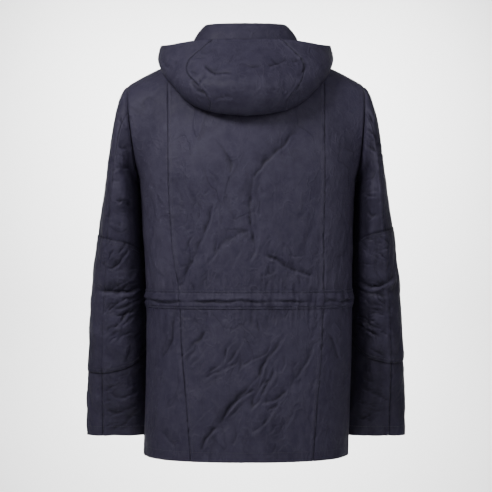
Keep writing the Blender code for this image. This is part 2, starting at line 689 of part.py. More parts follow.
def panel(name, grid, normals, rows, columns, finish_material):
    """The wall of one cut piece: a stretch of rows and columns of a grid."""
    part_rows, part_columns = slice(rows[0], rows[1] + 1), slice(columns[0], columns[1] + 1)
    outer = drawn_in(grid[part_rows, part_columns])
    return wall(name, outer, outer - normals[part_rows, part_columns] * CLOTH, finish_material)


def laid_piece(name, grid, normals, cloth, swell, finish_material):
    """A piece that lies on a panel: the panel's own points moved out. Swell lifts its middle rows."""
    across = np.sin(np.linspace(0, math.pi, len(grid)))[:, None, None]
    lower = grid + normals * LAID_GAP
    return wall(name, lower + normals * (cloth + swell * across), lower, finish_material)


def fold_body(grids, normals):
    """Presses the folds and gathers into the body's grids, none along the side and shoulder seams."""
    for name, folds in (("back", BACK_FOLDS), ("front_l", FRONT_FOLDS), ("front_r", FRONT_FOLDS)):
        grid = grids[name]
        depth = fold_depth(grid, folds)
        if name == "back":
            depth = depth + gather_depth(grid)
        depth = depth * np.clip(np.abs(grid[..., 1]) / FOLD_FADE, 0, 1)
        side_columns = {"back": (0, -1), "front_l": (-1,), "front_r": (0,)}[name]
        depth[:, side_columns] = 0
        depth[-1] = 0
        grids[name] = grid - normals[name] * depth[..., None]


def body_panels(grids, normals, cloth_finish):
    """Back and front panels, and the waist channel on the back."""
    last = grids["back"].shape[1] - 1
    top = grids["back"].shape[0] - 1
    cuts = {
        "back_side_l": (0, SIDE_COLUMNS),
        "back_centre": (SIDE_COLUMNS, last - SIDE_COLUMNS),
        "back_side_r": (last - SIDE_COLUMNS, last),
    }
    for name, columns in cuts.items():
        panel(name, grids["back"], normals["back"], (0, top), columns, cloth_finish)
    for name in ("front_l", "front_r"):
        panel(name, grids[name], normals[name], (0, top), (0, grids[name].shape[1] - 1), cloth_finish)
    rows = slice(CHANNEL_ROWS[0], CHANNEL_ROWS[1] + 1)
    laid_piece(
        "waist_channel", grids["back"][rows], normals["back"][rows], CHANNEL_CLOTH, CHANNEL_SWELL, cloth_finish
    )


def sleeve_panels(grids, normals, cloth_finish):
    """Top sleeves, under sleeves and elbow patches."""
    for side, letter in ((LEFT, "l"), (RIGHT, "r")):
        grid, normal = grids["sleeve_" + letter].copy(), normals["sleeve_" + letter]
        turns = np.linspace(0, 360, 2 * ARMHOLE_ROWS + 1)
        way, _ = cap_direction(side, turns if side == LEFT else turns[::-1])
        grid[-1] += way * SEAM_GAP
        if side == RIGHT:
            grid, normal = grid[:, ::-1], normal[:, ::-1]
        around = 2 * ARMHOLE_ROWS
        top = grid.shape[0] - 1
        patch_rows = range(FOREARM_ROWS, FOREARM_ROWS + PATCH_ROWS + 1)
        cuts = {
            "under_sleeve_" + letter: (range(top + 1), range(BACK_SEAM_COLUMN, FRONT_SEAM_COLUMN + 1)),
            "top_sleeve_" + letter: (range(top + 1), range(FRONT_SEAM_COLUMN - around, BACK_SEAM_COLUMN + 1)),
            "elbow_patch_" + letter: (patch_rows, range(PATCH_COLUMNS[0], PATCH_COLUMNS[1] + 1)),
        }
        for name, (rows, columns) in cuts.items():
            order = [k % around for k in (columns if side == LEFT else reversed(columns))]
            part_grid, part_normal = (a[np.ix_(list(rows), order)] for a in (grid, normal))
            if name.startswith("elbow"):
                laid_piece(name, part_grid, part_normal, PATCH_CLOTH, 0, cloth_finish)
            else:
                last = (part_grid.shape[0] - 1, part_grid.shape[1] - 1)
                panel(name, part_grid, part_normal, (0, last[0]), (0, last[1]), cloth_finish)


def hood_panels(cloth_finish):
    """The hood's two side panels and its centre panel."""
    grid = hood_grid()
    normal = outward(grid, False)
    last = grid.shape[1] - 1
    cuts = {
        "hood_side_l": (0, HOOD_SEAM_COLUMN),
        "hood_centre": (HOOD_SEAM_COLUMN, last - HOOD_SEAM_COLUMN),
        "hood_side_r": (last - HOOD_SEAM_COLUMN, last),
    }
    for name, (low, high) in cuts.items():
        middle = drawn_in(grid[:, low : high + 1])
        half = normal[:, low : high + 1] * (HOOD_CLOTH / 2)
        wall(name, (middle + half)[:, ::-1], (middle - half)[:, ::-1], cloth_finish)


def zip_rows(grids, normals, front_name):
    """Points and normals of the outermost two columns, edge first, up one front and then up the collar."""
    front, collar = ((0, 1), (0, 1)) if front_name == "front_l" else ((-1, -2), (-1, -2))
    points = np.concatenate([grids[front_name][:, front], grids["collar"][1:, collar]])
    ways = np.concatenate([normals[front_name][:, front], normals["collar"][1:, collar]])
    for end, inner, margin in ((0, 1, ZIP_BOTTOM_MARGIN), (-1, -2, ZIP_TOP_MARGIN)):
        points[end] += unit(points[inner] - points[end]) * margin
    return points, ways


def zip_panels(grids, normals, tape_finish, metal):
    """The two tapes behind the front edges and the chain between them. Returns the chain's line and normals."""
    edges = []
    for letter in ("l", "r"):
        points, ways = zip_rows(grids, normals, "front_" + letter)
        run = (points[:, 1] - points[:, 0]) / np.abs(points[:, 1, :1] - points[:, 0, :1])
        edges.append((points[:, 0].copy(), ways[:, 0]))
        points[:, 0] -= run * (FRONT_EDGE - CHAIN_HALF_WIDTH - SEAM_GAP)
        if letter == "r":
            points, ways = points[:, ::-1], ways[:, ::-1]
        sunk = points - ways * (CLOTH + LAID_GAP)
        wall("zip_tape_" + letter, sunk, sunk - ways * ZIP_TAPE_CLOTH, tape_finish)
    middle = (edges[0][0] + edges[1][0]) / 2
    way = unit(edges[0][1] + edges[1][1])
    side = np.array([CHAIN_HALF_WIDTH, 0, 0])
    strip = np.stack([middle - side, middle + side], axis=1)
    wall("zip_chain", strip, strip - way[:, None] * CHAIN_THICKNESS, metal)
    return middle, way


def slider_frame(line):
    """Middle of the slider and its axes (across, up, outwards) on the straight stretch below the chain's top."""
    low, high = line[-3], line[-2]
    across = np.array([1.0, 0.0, 0.0])
    up = unit(high - low)
    return (low + high) / 2, np.stack([across, up, np.cross(across, up)])


def place_on(bm, middle, axes):
    """Moves a mesh that was made in a local frame to its place."""
    for corner in bm.verts:
        corner.co = mathutils.Vector(middle + np.array(corner.co) @ axes)


def slider_arch(face_height):
    """The arch that the pull tab hangs in, in the slider's frame: a half ring on two straight legs."""
    inner, outer = ARCH_HOLE, ARCH_HOLE + ARCH_THICKNESS
    angles = np.linspace(0, math.pi, ARCH_STEPS + 1)
    root = -ARCH_HOLE - ARCH_ROOT
    ring = [(math.cos(a) * outer, math.sin(a) * outer) for a in angles]
    hole = [(math.cos(a) * inner, math.sin(a) * inner) for a in reversed(angles)]
    outline = [(outer, root), *ring, (-outer, root), (-inner, root), *hole, (inner, root)]
    bm = bmesh.new()
    middle = face_height + ARCH_HOLE
    corners = [bm.verts.new((-ARCH_WIDTH / 2, up, middle + out)) for up, out in outline]
    side = bm.faces.new(corners)
    extruded = bmesh.ops.extrude_face_region(bm, geom=[side])["geom"]
    moved = [part for part in extruded if isinstance(part, bmesh.types.BMVert)]
    bmesh.ops.translate(bm, verts=moved, vec=(ARCH_WIDTH, 0, 0))
    bmesh.ops.recalc_face_normals(bm, faces=bm.faces[:])
    return bm


def slider(line, metal):
    """The slider: a plate in front of the chain with the arch joined on. Returns the hinge point and axes."""
    middle, axes = slider_frame(line)
    face_height = LAID_GAP + SLIDER_THICKNESS
    arch_mesh = slider_arch(face_height)
    place_on(arch_mesh, middle, axes)
    arch = finish("slider_arch", arch_mesh, metal)
    arch.hide_render = True
    arch.display_type = "WIRE"
    bm = bmesh.new()
    bmesh.ops.create_cube(bm, size=1)
    bmesh.ops.scale(bm, verts=bm.verts[:], vec=(SLIDER_WIDTH, SLIDER_LENGTH, SLIDER_THICKNESS))
    bmesh.ops.translate(bm, verts=bm.verts[:], vec=(0, 0, LAID_GAP + SLIDER_THICKNESS / 2))
    place_on(bm, middle, axes)
    plate = finish("zip_slider", bm, metal)
    joined = plate.modifiers.new("arch", "BOOLEAN")
    joined.operation = "UNION"
    joined.solver = "EXACT"
    joined.object = arch
    return middle + axes[2] * (face_height + ARCH_HOLE), axes


def hanging_way(hinge, axes, line, ways):
    """Way in which the pull tab hangs: straight down, or held off by the slider and the cloth below it."""
    length = PULL_SHAPE[-1][0]
    below = (np.linalg.norm(line - hinge, axis=1) < length) & (line[:, 2] < hinge[2])
    plate_end = hinge - axes[1] * SLIDER_LENGTH / 2 - axes[2] * ARCH_HOLE
    touched = np.concatenate([line[below], plate_end[None]])
    ways_out = np.concatenate([ways[below], axes[2:]])
    held = touched + ways_out * (LAID_GAP + PULL_THICKNESS / 2) - hinge
    lean = max(0.0, *(held[:, 1] / held[:, 2]))
    return unit(np.array([0.0, -lean, -1.0]))


def pull_tab(hinge, axes, line, ways, metal):
    """The pull tab: a flat tongue whose top bar passes through the slider's arch, with its origin on the hinge."""
    down = hanging_way(hinge, axes, line, ways)
    out = np.cross(down, (1.0, 0.0, 0.0))
    bm = bmesh.new()
    bmesh.ops.create_grid(bm, x_segments=3, y_segments=len(PULL_SHAPE) - 1, size=1)
    hole = None
    for face in bm.faces:
        at = face.calc_center_median()
        row = int((at.y + 1) / 2 * (len(PULL_SHAPE) - 1))
        if row == PULL_HOLE_ROW and abs(at.x) < 1 / 3:
            hole = face
    for corner in bm.verts:
        row = round((corner.co.y + 1) / 2 * (len(PULL_SHAPE) - 1))
        fall, half = PULL_SHAPE[row]
        reach = half if abs(corner.co.x) > 0.5 else PULL_HOLE_HALF_WIDTH
        across = math.copysign(reach, corner.co.x)
        corner.co = (across, *(down[1:] * fall - out[1:] * PULL_THICKNESS / 2))
    bmesh.ops.delete(bm, geom=[hole], context="FACES_ONLY")
    extruded = bmesh.ops.extrude_face_region(bm, geom=bm.faces[:])["geom"]
    moved = [part for part in extruded if isinstance(part, bmesh.types.BMVert)]
    bmesh.ops.translate(bm, verts=moved, vec=out * PULL_THICKNESS)
    bmesh.ops.recalc_face_normals(bm, faces=bm.faces[:])
    tab = finish("zip_pull", bm, metal)
    tab.location = hinge
    return tab


def main():
    clear_scene()
    navy = material("waxed_cotton", (0.033, 0.033, 0.050), 0.55)
    tape = material("zip_tape", (0.020, 0.020, 0.028), 0.8)
    brass = material("antique_brass", (0.30, 0.22, 0.11), 0.4, 1.0)
    grids = {
        "back": np.concatenate([body_quarter(LEFT, BACK), body_quarter(RIGHT, BACK)[:, 1:]], axis=1),
        "front_r": body_quarter(RIGHT, FRONT),
        "front_l": body_quarter(LEFT, FRONT),
        "collar": collar_grid(),
        "sleeve_l": sleeve_grid(LEFT),
        "sleeve_r": sleeve_grid(RIGHT),
    }
    fold_body(grids, shared_normals(grids))
    normals = shared_normals(grids)
    body_panels(grids, normals, navy)
    sleeve_panels(grids, normals, navy)
    last = grids["collar"].shape[1] - 1
    panel("collar", grids["collar"], normals["collar"], (0, COLLAR_ROWS), (0, last), navy)
    hood_panels(navy)
    line, ways = zip_panels(grids, normals, tape, brass)
    hinge, axes = slider(line, brass)
    pull_tab(hinge, axes, line, ways, brass)


main()
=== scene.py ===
"""Looks of a hooded, thigh-length jacket of waxed cotton, laid over the forms of its solids.

+Z is up, the wearer faces -Y and the wearer's left is +X. Angles are in degrees. Lengths are in metres, and in
millimetres in the tables.

Every panel is a fine grid on the same surface as its solid, with folds, creases, gathers and seam relief pressed
into it, and a thin wall inwards. Stitches and zip teeth are small pieces set along lines on those grids.
"""

import math

import bmesh
import bpy
import numpy as np
from mathutils import Matrix, Vector, noise


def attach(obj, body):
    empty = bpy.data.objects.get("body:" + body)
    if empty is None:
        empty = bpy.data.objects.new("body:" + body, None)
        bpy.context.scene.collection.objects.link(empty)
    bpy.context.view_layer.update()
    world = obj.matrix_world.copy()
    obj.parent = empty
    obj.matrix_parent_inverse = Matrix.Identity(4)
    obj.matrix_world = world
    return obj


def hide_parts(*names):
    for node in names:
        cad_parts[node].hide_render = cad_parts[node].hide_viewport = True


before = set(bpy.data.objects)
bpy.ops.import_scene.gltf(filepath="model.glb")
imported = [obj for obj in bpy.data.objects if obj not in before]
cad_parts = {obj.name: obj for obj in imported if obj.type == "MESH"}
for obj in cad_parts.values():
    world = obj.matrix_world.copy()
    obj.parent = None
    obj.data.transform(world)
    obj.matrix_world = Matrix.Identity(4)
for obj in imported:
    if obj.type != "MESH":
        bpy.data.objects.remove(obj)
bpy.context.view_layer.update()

JACKET = "jacket"
LEFT, RIGHT = 1, -1
BACK, FRONT = 1, -1
SIDE_NAMES = {LEFT: "left", RIGHT: "right"}
LETTERS = {LEFT: "l", RIGHT: "r"}
UP = np.array([0, 0, 1.0])
LEVEL = np.array([1, 1, 0])
LEAST_LENGTH = 1e-12

# Columns of the tables that hold angles, shares and counts, not lengths.
PLAIN_COLUMNS = (
    "power tilt turn share left_turn right_turn slope half_turn ridge count way vary sharp stretch".split()
)


def table(columns, *rows):
    """Rows as dictionaries by column, with their lengths turned from millimetres into metres."""
    names = columns.split()
    return [{n: v if n in PLAIN_COLUMNS else v / 1000 for n, v in zip(names, row)} for row in rows]


# --- sizes of the forms -----------------------------------------------------------------------------------

# Body, from the hem up to the underarm: half widths left and right of the middle, depths behind and in front
# of the side seams, and the power of the rounded section.
BODY_SECTIONS = table(
    "height left right back front power",
    (-763.5, 199, 199, 143, 139, 2.3),
    (-660, 195, 203, 139, 136, 2.3),
    (-560, 193, 206, 133, 132, 2.3),
    (-463, 193, 207, 127, 128, 2.3),
    (-360, 198, 208, 132, 132, 2.35),
    (-235, 205, 213, 139, 137, 2.4),
)
UNDERARM = -0.235
HEM = -0.7635
HEM_LIFT = 0.003

# Side-back seams: distance from the middle at each height.
SEAM_SECTIONS = table(
    "height left right",
    (-763.5, 102, 126),
    (-660, 110, 133),
    (-560, 119, 142),
    (-463, 124, 146),
    (-360, 138, 146),
    (-235, 145, 148),
)
NECK_COLUMN_SHARE = 0.62
FRONT_SEAM_SHARES = (1.0, 0.74, 0.48)
FRONT_EDGE, FRONT_EDGE_MARGIN = 0.004, 1.01

# Shoulder seam and neck seam.
TIP = (0.230, 0.0, -0.051)
SHOULDER_BOW = 0.005
SIDE_BACK_SEAM_TOP = 0.150
NECK_HALF_WIDTH = 0.107
NECK_DEPTH = {BACK: 0.062, FRONT: 0.080}
NECK_HEIGHT = 0.005
NECK_MIDDLE_HEIGHT = {BACK: 0.005, FRONT: -0.050}
NECK_STEPS = 30

# How the body's columns leave the underarm level and reach the shoulder (run out, fall).
RISE = 0.090
ARMHOLE_LEAVE = {BACK: (0.010, 0.075, 0.030), FRONT: (0.004, -0.070, 0.032)}
ARMHOLE_REACH = {BACK: (0.000, 0.085, -0.010), FRONT: (0.000, -0.085, -0.012)}
SHOULDER_REACH = {BACK: (0.075, -0.010), FRONT: (-0.070, -0.012)}
NECK_REACH = {BACK: (0.050, -0.040), FRONT: (-0.035, -0.042)}

# The smallest share that still counts as above the underarm.
LEAST_CLIMB = 1e-9

# Cells of a quarter of the body: across its side, shoulder and neck parts, and up to the underarm and above it.
FINENESS = {
    BACK: {"side": 46, "shoulder": 26, "neck": 46, "lower": 226, "upper": 104},
    FRONT: {"side": 24, "shoulder": 8, "neck": 16, "lower": 124, "upper": 58},
}
BEFORE_SEAM, AFTER_SEAM = 0.988, 1.025

# Waist channel and elbow patches.
CHANNEL_LOW, CHANNEL_HIGH = -0.480, -0.446
PATCH_MIDDLE = 25.0
PATCH_REACH = 125.0
PATCH_EDGES = {LEFT: (-0.337, -0.609), RIGHT: (-0.322, -0.588)}
PATCH_TOP_CURVE = 0.024
PATCH_BOTTOM_CURVE = 0.036
PATCH_BEND_POWER, PATCH_BEND_MOST = 3, 1.2
PATCH_TURNS = (-54.0, 162.0)

# Sleeve rings: height, gap between body and inner edge, outer edge, front and back, all from the middle, and how
# far the ring's back hangs below its front, per metre of depth.
SLEEVE_SECTIONS = table(
    "height gap outer front back tilt",
    (-743, -10, 321.2, -121, -56, -0.06),
    (-690, -7, 320, -119, -40, 0.02),
    (-620, -2, 316.5, -116, -18, 0.1),
    (-550, 1, 311, -112, 4, 0.14),
    (-470, 2, 304.5, -106, 27, 0.14),
    (-400, 2, 296.2, -102, 48, 0.14),
    (-330, 2, 286.8, -99, 67, 0.14),
    (-265, 2, 276.5, -97, 82, 0.14),
)
CUFF = -0.743
BICEPS, BELOW_BICEPS = -0.265, 0.01
SLEEVE_POWER = 2.3
SEAM_TURN = 6.0
BACK_SEAM_TURN, FRONT_SEAM_TURN = 72.0, 288.0
CAP_FALL, CAP_FALL_LESS_UNDER = 38.0, 8.0
CAP_SWING = 0.25
CAP_LEAVE, CAP_LEAVE_LESS_UNDER = 0.034, 0.024
CAP_REACH, CAP_REACH_LESS_UNDER = 0.075, 0.066

# Rows of cells on the forearm, the elbow patch, the upper arm and the cap, and columns that show and that don't.
SLEEVE_ROWS = (50, 104, 26, 62)
SLEEVE_SHOWN_TO = 126
SLEEVE_COLUMNS_SHOWN, SLEEVE_COLUMNS_HIDDEN = 63, 52

# The sleeve's inner side swells to meet the body, and its allowance is turned in: steps ahead and below.
INNER_CLEARANCE = 0.0004
INNER_SWELL_MOST, INNER_SWELL_REACH = 0.009, 38
INNER_OVERLAP = 0.0025
ALLOWANCE = ((0.0012, 0.0010), (0.0035, 0.0016))

# Collar: top edge and how its wall leans in.
COLLAR_TOP_HALF_WIDTH = 0.080
COLLAR_TOP_DEPTH = {BACK: 0.050, FRONT: 0.062}
COLLAR_TOP = 0.066
COLLAR_MIDDLE_TOP = {BACK: 0.063, FRONT: 0.006}
COLLAR_FOOT_OUT, COLLAR_FOOT_UP = 0.003, 0.022
COLLAR_TOP_OUT, COLLAR_TOP_DOWN = 0.017, 0.014
COLLAR_EDGE_REACH = 0.030
COLLAR_ROWS = 26

# Hood lying on the back: for each turn about the neck (0 at the shoulder, 90 at the middle of the back), the
# distance from the neck's middle and the height where it lies on the body, folds up, bulges and ends.
HOOD_SECTIONS = table(
    "turn lie_out lie_z down_out down_z fold_out fold_z belly_out belly_z rim_out rim_z",
    (-62, 100, -47, 112, -60, 120, -68, 127, -56, 120, -32),
    (-32, 112, -10, 130, -34, 146, -46, 156, -30, 150, -4),
    (0, 122, 9, 142, 2, 157, -6, 167.5, 3, 164.5, 22.5),
    (30, 112, -2, 134, -34, 158, -58, 176, -34, 158, 17.5),
    (50, 108, -16, 130, -60, 154, -100, 178, -60, 134, 21.5),
    (70, 104, -28, 128, -82, 152, -118, 180, -66, 112, 23),
    (90, 100, -34, 128, -92, 150, -123.5, 178, -66, 104, 23),
)
HOOD_MARKS = ("lie", "down", "fold", "belly", "rim")
HOOD_BASE = 0.0020
HOOD_BASE_RISE = 37.0
HOOD_FIRST_PLACE = 2.66
HOOD_ROWS = 118
HOOD_COUNTS = (66, 104, 66)
HOOD_PLANS = 240
SPLINE_STEPS = 12

# Seams between the hood's side panels and its centre: turn about the neck at each share of the way from the
# neck seam to the rim.
HOOD_SEAMS = table(
    "share left_turn right_turn",
    (0, 49, 49),
    (0.4, 56, 54),
    (0.55, 68, 64),
    (0.64, 62, 58),
    (0.74, 51, 51),
    (0.84, 49, 49),
    (0.93, 55, 53),
    (1, 60, 57),
)

# --- folds and creases ------------------------------------------------------------------------------------

# Largest folds of the back and the fronts. A fold is a soft trough along a straight line.
FOLD_COLUMNS = "x0 z0 x1 z1 half_width depth"
BACK_FOLDS = table(
    FOLD_COLUMNS,
    (-104, -139, -36, -204, 13, 6),
    (-36, -204, -15, -278, 12, 5),
    (-15, -278, -23, -374, 12, 3.5),
    (66, -157, 31, -210, 12, 4),
    (31, -210, 30, -268, 12, 3),
    (66, -254, 92, -383, 13, 4),
    (92, -383, 121, -440, 13, 4.5),
    (-36, -374, -86, -407, 13, 4),
    (-86, -407, -137, -420, 13, 3.5),
    (-17, -632, 44, -693, 14, 6.5),
    (44, -693, 75, -745, 14, 6),
    (-123, -549, -95, -614, 13, 4),
    (-95, -614, -26, -656, 13, 4),
    (10, -575, 84, -621, 14, 4.5),
    (132, -490, 146, -558, 13, 4),
    (146, -558, 164, -583, 13, 3),
    (-156, -522, -178, -568, 13, 3.5),
    (-56, -700, -54, -740, 13, 3.5),
    (164, -706, 121, -740, 13, 3),
)
FRONT_FOLDS = table(
    FOLD_COLUMNS,
    (60, -150, 110, -235, 14, 4.5),
    (-70, -160, -120, -250, 14, 5),
    (110, -300, 60, -400, 14, 4),
    (-60, -310, -100, -420, 14, 3.5),
    (70, -520, 130, -630, 14, 4.5),
    (-120, -500, -80, -600, 14, 4.5),
    (-50, -620, -110, -710, 14, 5),
    (50, -640, 40, -730, 14, 4),
)
FOLD_SHARE, SLEEVE_FOLD_SHARE = 0.4, 0.8

# Folds round the sleeves: height at the sleeve's middle, fall per metre outwards, turn of the fold's middle and
# how far it runs to each side of that.
SLEEVE_FOLDS = table(
    "height slope turn half_turn half_width depth",
    (-170, 0.5, 95, 55, 13, 3.5),
    (-225, 0.7, 120, 60, 13, 4),
    (-300, 0.3, 110, 60, 14, 3),
    (-405, 0.2, 100, 60, 14, 4),
    (-448, 0, 95, 85, 13, 6.5),
    (-490, -0.3, 120, 70, 13, 4.5),
    (-532, -0.4, 110, 65, 13, 4),
    (-580, -0.5, 120, 60, 14, 3.5),
    (-640, -0.3, 250, 70, 14, 3.5),
    (-695, -0.3, 130, 60, 14, 3.5),
    (-430, 0.2, 270, 60, 14, 5.5),
    (-500, 0.3, 280, 60, 14, 4.5),
)

# Creases: the ends and the middle of a curved line, the trough's half width and depth, and the share of that
# depth to which the cloth rises beside it.
CREASE_COLUMNS = "x0 z0 xm zm x1 z1 width depth ridge"
BACK_CREASES = table(
    CREASE_COLUMNS,
    (-104, -143, -41, -204, -15, -241, 4.5, 3, 0.6),
    (64, -158, 31, -200, 31, -232, 5, 1.8, 0.4),
    (31, -232, 29, -250, 27, -268, 3.5, 1.2, 0.4),
    (-15, -232, -9, -290, -19, -376, 4.2, 2.5, 0.6),
    (72, -222, 52, -246, 62, -285, 3.5, 1.5, 0.5),
    (-12, -322, -21, -351, 2, -414, 4.5, 2, 0.5),
    (-23, -246, -21, -274, -18, -304, 3, 1.2, 0.4),
    (62, -281, 73, -324, 97, -387, 5, 2.6, 0.7),
    (97, -387, 112, -411, 123, -442, 5, 2.2, 0.6),
    (66, -257, 71, -265, 79, -270, 3, 0.9, 0.4),
    (101, -300, 103, -324, 114, -340, 3.5, 1.1, 0.5),
    (62, -387, 73, -398, 84, -409, 3, 1.2, 0.5),
    (125, -403, 110, -396, 97, -387, 3.5, 1.2, 0.5),
    (-12, -335, 31, -348, 59, -385, 8, 2.2, 0.3),
    (-33, -374, -82, -403, -138, -422, 4.5, 2.8, 0.7),
    (-27, -420, -43, -416, -60, -405, 4, 1.4, 0.5),
    (170, -396, 164, -411, 151, -425, 4, 1.4, 0.5),
    (-4, -125, -6, -141, -9, -158, 3, 1.2, 0.4),
    (140, -499, 140, -536, 162, -580, 5, 2.4, 0.6),
    (46, -506, 49, -510, 54, -512, 3, 0.8, 0.4),
    (13, -575, 44, -591, 81, -607, 4.5, 2, 0.6),
    (-19, -628, 18, -647, 51, -694, 5.5, 3.4, 0.7),
    (51, -694, 73, -717, 81, -742, 5.5, 3, 0.7),
    (62, -618, 70, -623, 79, -628, 3, 1, 0.4),
    (-98, -575, -93, -582, -87, -588, 4, 1.3, 0.4),
    (-76, -628, -54, -645, -25, -650, 4.5, 2.8, 0.6),
    (-124, -547, -111, -584, -84, -613, 5, 2.2, 0.6),
    (-54, -723, -49, -741, -33, -750, 4, 1.6, 0.5),
    (160, -709, 145, -724, 129, -737, 4.5, 1.6, 0.5),
    (-8, -678, -19, -680, -30, -678, 3, 1, 0.4),
    (13, -704, 18, -717, 24, -729, 4, 1.3, 0.4),
    (-155, -527, -170, -551, -179, -580, 4.5, 1.8, 0.5),
    (138, -511, 132, -495, 125, -473, 3.5, 1.4, 0.5),
    (51, -511, 44, -503, 38, -497, 3.5, 1, 0.4),
    (-52, -495, -63, -494, -73, -496, 3.5, 1, 0.4),
)
FRONT_CREASES = table(
    CREASE_COLUMNS,
    (60, -150, 92, -188, 110, -240, 5, 2.4, 0.6),
    (150, -180, 158, -215, 150, -262, 4.5, 1.8, 0.5),
    (-72, -155, -90, -205, -126, -250, 5, 2.8, 0.6),
    (-150, -170, -146, -196, -156, -222, 4, 1.4, 0.5),
    (112, -300, 96, -352, 58, -404, 4.5, 2, 0.6),
    (150, -350, 160, -392, 150, -436, 4.5, 1.6, 0.5),
    (-58, -310, -72, -368, -104, -424, 4.5, 2, 0.6),
    (-140, -330, -152, -364, -148, -410, 4, 1.4, 0.5),
    (68, -520, 106, -570, 132, -634, 5, 2.2, 0.6),
    (-122, -500, -94, -548, -80, -604, 5, 2.4, 0.6),
    (-48, -618, -74, -668, -112, -712, 5.5, 2.8, 0.7),
    (52, -640, 40, -690, 42, -734, 4.5, 1.8, 0.6),
    (140, -660, 126, -694, 96, -722, 4.5, 1.6, 0.5),
    (-150, -610, -162, -640, -160, -684, 4.5, 1.5, 0.5),
)
SLEEVE_CREASES = {
    LEFT: table(
        CREASE_COLUMNS,
        (222, -150, 215, -158, 210, -167, 3.5, 1.5, 0.5),
        (241, -117, 231, -130, 218, -139, 4.5, 3.2, 0.7),
        (238, -172, 226, -178, 213, -180, 3.6, 2, 0.6),
        (252, -192, 238, -190, 226, -197, 3.2, 1.6, 0.5),
        (255, -223, 236, -215, 215, -213, 4, 2, 0.6),
        (251, -240, 244, -241, 234, -241, 3, 1.2, 0.5),
        (242, -279, 230, -283, 217, -285, 4, 1.6, 0.6),
        (256, -313, 246, -321, 234, -326, 4, 1.5, 0.6),
        (265, -406, 242, -397, 225, -369, 4.5, 2, 0.6),
        (222, -425, 215, -414, 208, -403, 4, 1.5, 0.5),
        (288, -446, 236, -454, 196, -436, 5, 3.5, 0.8),
        (268, -488, 253, -480, 238, -465, 4, 1.6, 0.6),
        (253, -522, 238, -506, 223, -488, 4.5, 1.9, 0.6),
        (268, -650, 242, -662, 211, -647, 4.5, 1.8, 0.6),
        (276, -688, 247, -692, 217, -675, 4.5, 1.6, 0.6),
    ),
    RIGHT: table(
        CREASE_COLUMNS,
        (-216, -257, -232, -268, -247, -268, 4, 1.4, 0.6),
        (-226, -97, -236, -112, -243, -129, 4.5, 3, 0.7),
        (-230, -140, -240, -150, -251, -158, 3.6, 2.1, 0.6),
        (-223, -170, -235, -180, -250, -184, 3.6, 1.9, 0.6),
        (-228, -298, -239, -306, -254, -302, 3.5, 1.2, 0.5),
        (-226, -347, -235, -351, -247, -349, 3.5, 1.3, 0.5),
        (-208, -418, -247, -442, -290, -416, 5, 3.4, 0.8),
        (-228, -465, -243, -476, -269, -476, 4, 1.6, 0.5),
        (-230, -507, -247, -518, -268, -521, 4.5, 2, 0.6),
        (-242, -560, -254, -569, -273, -578, 4, 1.8, 0.5),
        (-197, -650, -205, -658, -216, -668, 4, 1.6, 0.5),
        (-225, -639, -247, -650, -275, -662, 4.5, 2, 0.6),
    ),
}
HOOD_CREASES = table(
    CREASE_COLUMNS,
    (92, -14, 85, -16, 76, -14, 3, 1.6, 0.5),
    (101, -39, 96, -45, 89, -48, 3, 1.4, 0.5),
    (75, -28, 58, -47, 19, -49, 4, 2.2, 0.6),
    (97, -59, 88, -79, 70, -84, 4.5, 2.4, 0.6),
    (78, -77, 72, -76, 67, -74, 3, 1, 0.4),
    (63, -111, 48, -94, 14, -97, 5, 1.8, 0.7),
    (-40, -37, -59, -28, -79, -16, 4.5, 2.4, 0.6),
    (-30, -1, -48, 2, -66, 10, 3.5, 1.5, 0.5),
    (-80, -26, -111, -21, -93, -68, 4, 2.2, 0.5),
    (-113, -25, -117, -36, -113, -48, 3, 1.4, 0.5),
    (-59, -110, -71, -110, -84, -106, 4, 1.6, 0.5),
    (-64, -101, -79, -97, -93, -90, 5, 1.4, 0.6),
    (14, -28, -8, -36, -33, -30, 7, 1.6, 0.4),
)

# Smaller creases, scattered: middle and half sizes of a stretch of cloth, their number, direction (90 is upright)
# and how far that varies, shortest and longest, half width and depth.
SCATTER_COLUMNS = "x z half_x half_z count way vary short long width depth"
BACK_SCATTER = table(
    SCATTER_COLUMNS,
    (0, -170, 100, 50, 9, 100, 20, 15, 40, 2, 0.6),
    (85, -350, 38, 80, 20, 110, 14, 18, 60, 2.2, 1),
    (-10, -330, 30, 90, 14, 95, 15, 20, 60, 2, 0.9),
    (-100, -330, 50, 80, 12, 100, 22, 15, 50, 2, 0.6),
    (-80, -400, 50, 25, 8, 25, 16, 20, 50, 2.2, 0.9),
    (170, -330, 20, 90, 10, 88, 14, 20, 50, 2.2, 0.7),
    (-175, -330, 20, 90, 10, 92, 14, 20, 50, 2.2, 0.7),
    (0, -424, 155, 16, 44, 93, 12, 10, 32, 2, 1),
    (0, -503, 155, 16, 44, 92, 12, 10, 36, 2, 1),
    (145, -560, 25, 60, 12, 98, 18, 20, 50, 2.2, 0.9),
    (20, -630, 85, 75, 26, 130, 16, 18, 60, 2.2, 1.3),
    (30, -620, 90, 90, 9, 128, 9, 50, 110, 4, 2.1),
    (-80, -610, 60, 80, 6, 118, 12, 45, 90, 3.6, 1.5),
    (60, -350, 60, 70, 6, 116, 10, 45, 90, 3.4, 1.3),
    (-50, -340, 70, 70, 5, 100, 16, 40, 80, 3.2, 1.2),
    (-90, -620, 55, 90, 16, 122, 22, 18, 55, 2.2, 0.9),
    (-160, -620, 25, 90, 8, 80, 18, 20, 45, 2.2, 0.7),
    (0, -752, 180, 7, 48, 90, 16, 8, 18, 1.8, 0.6),
)
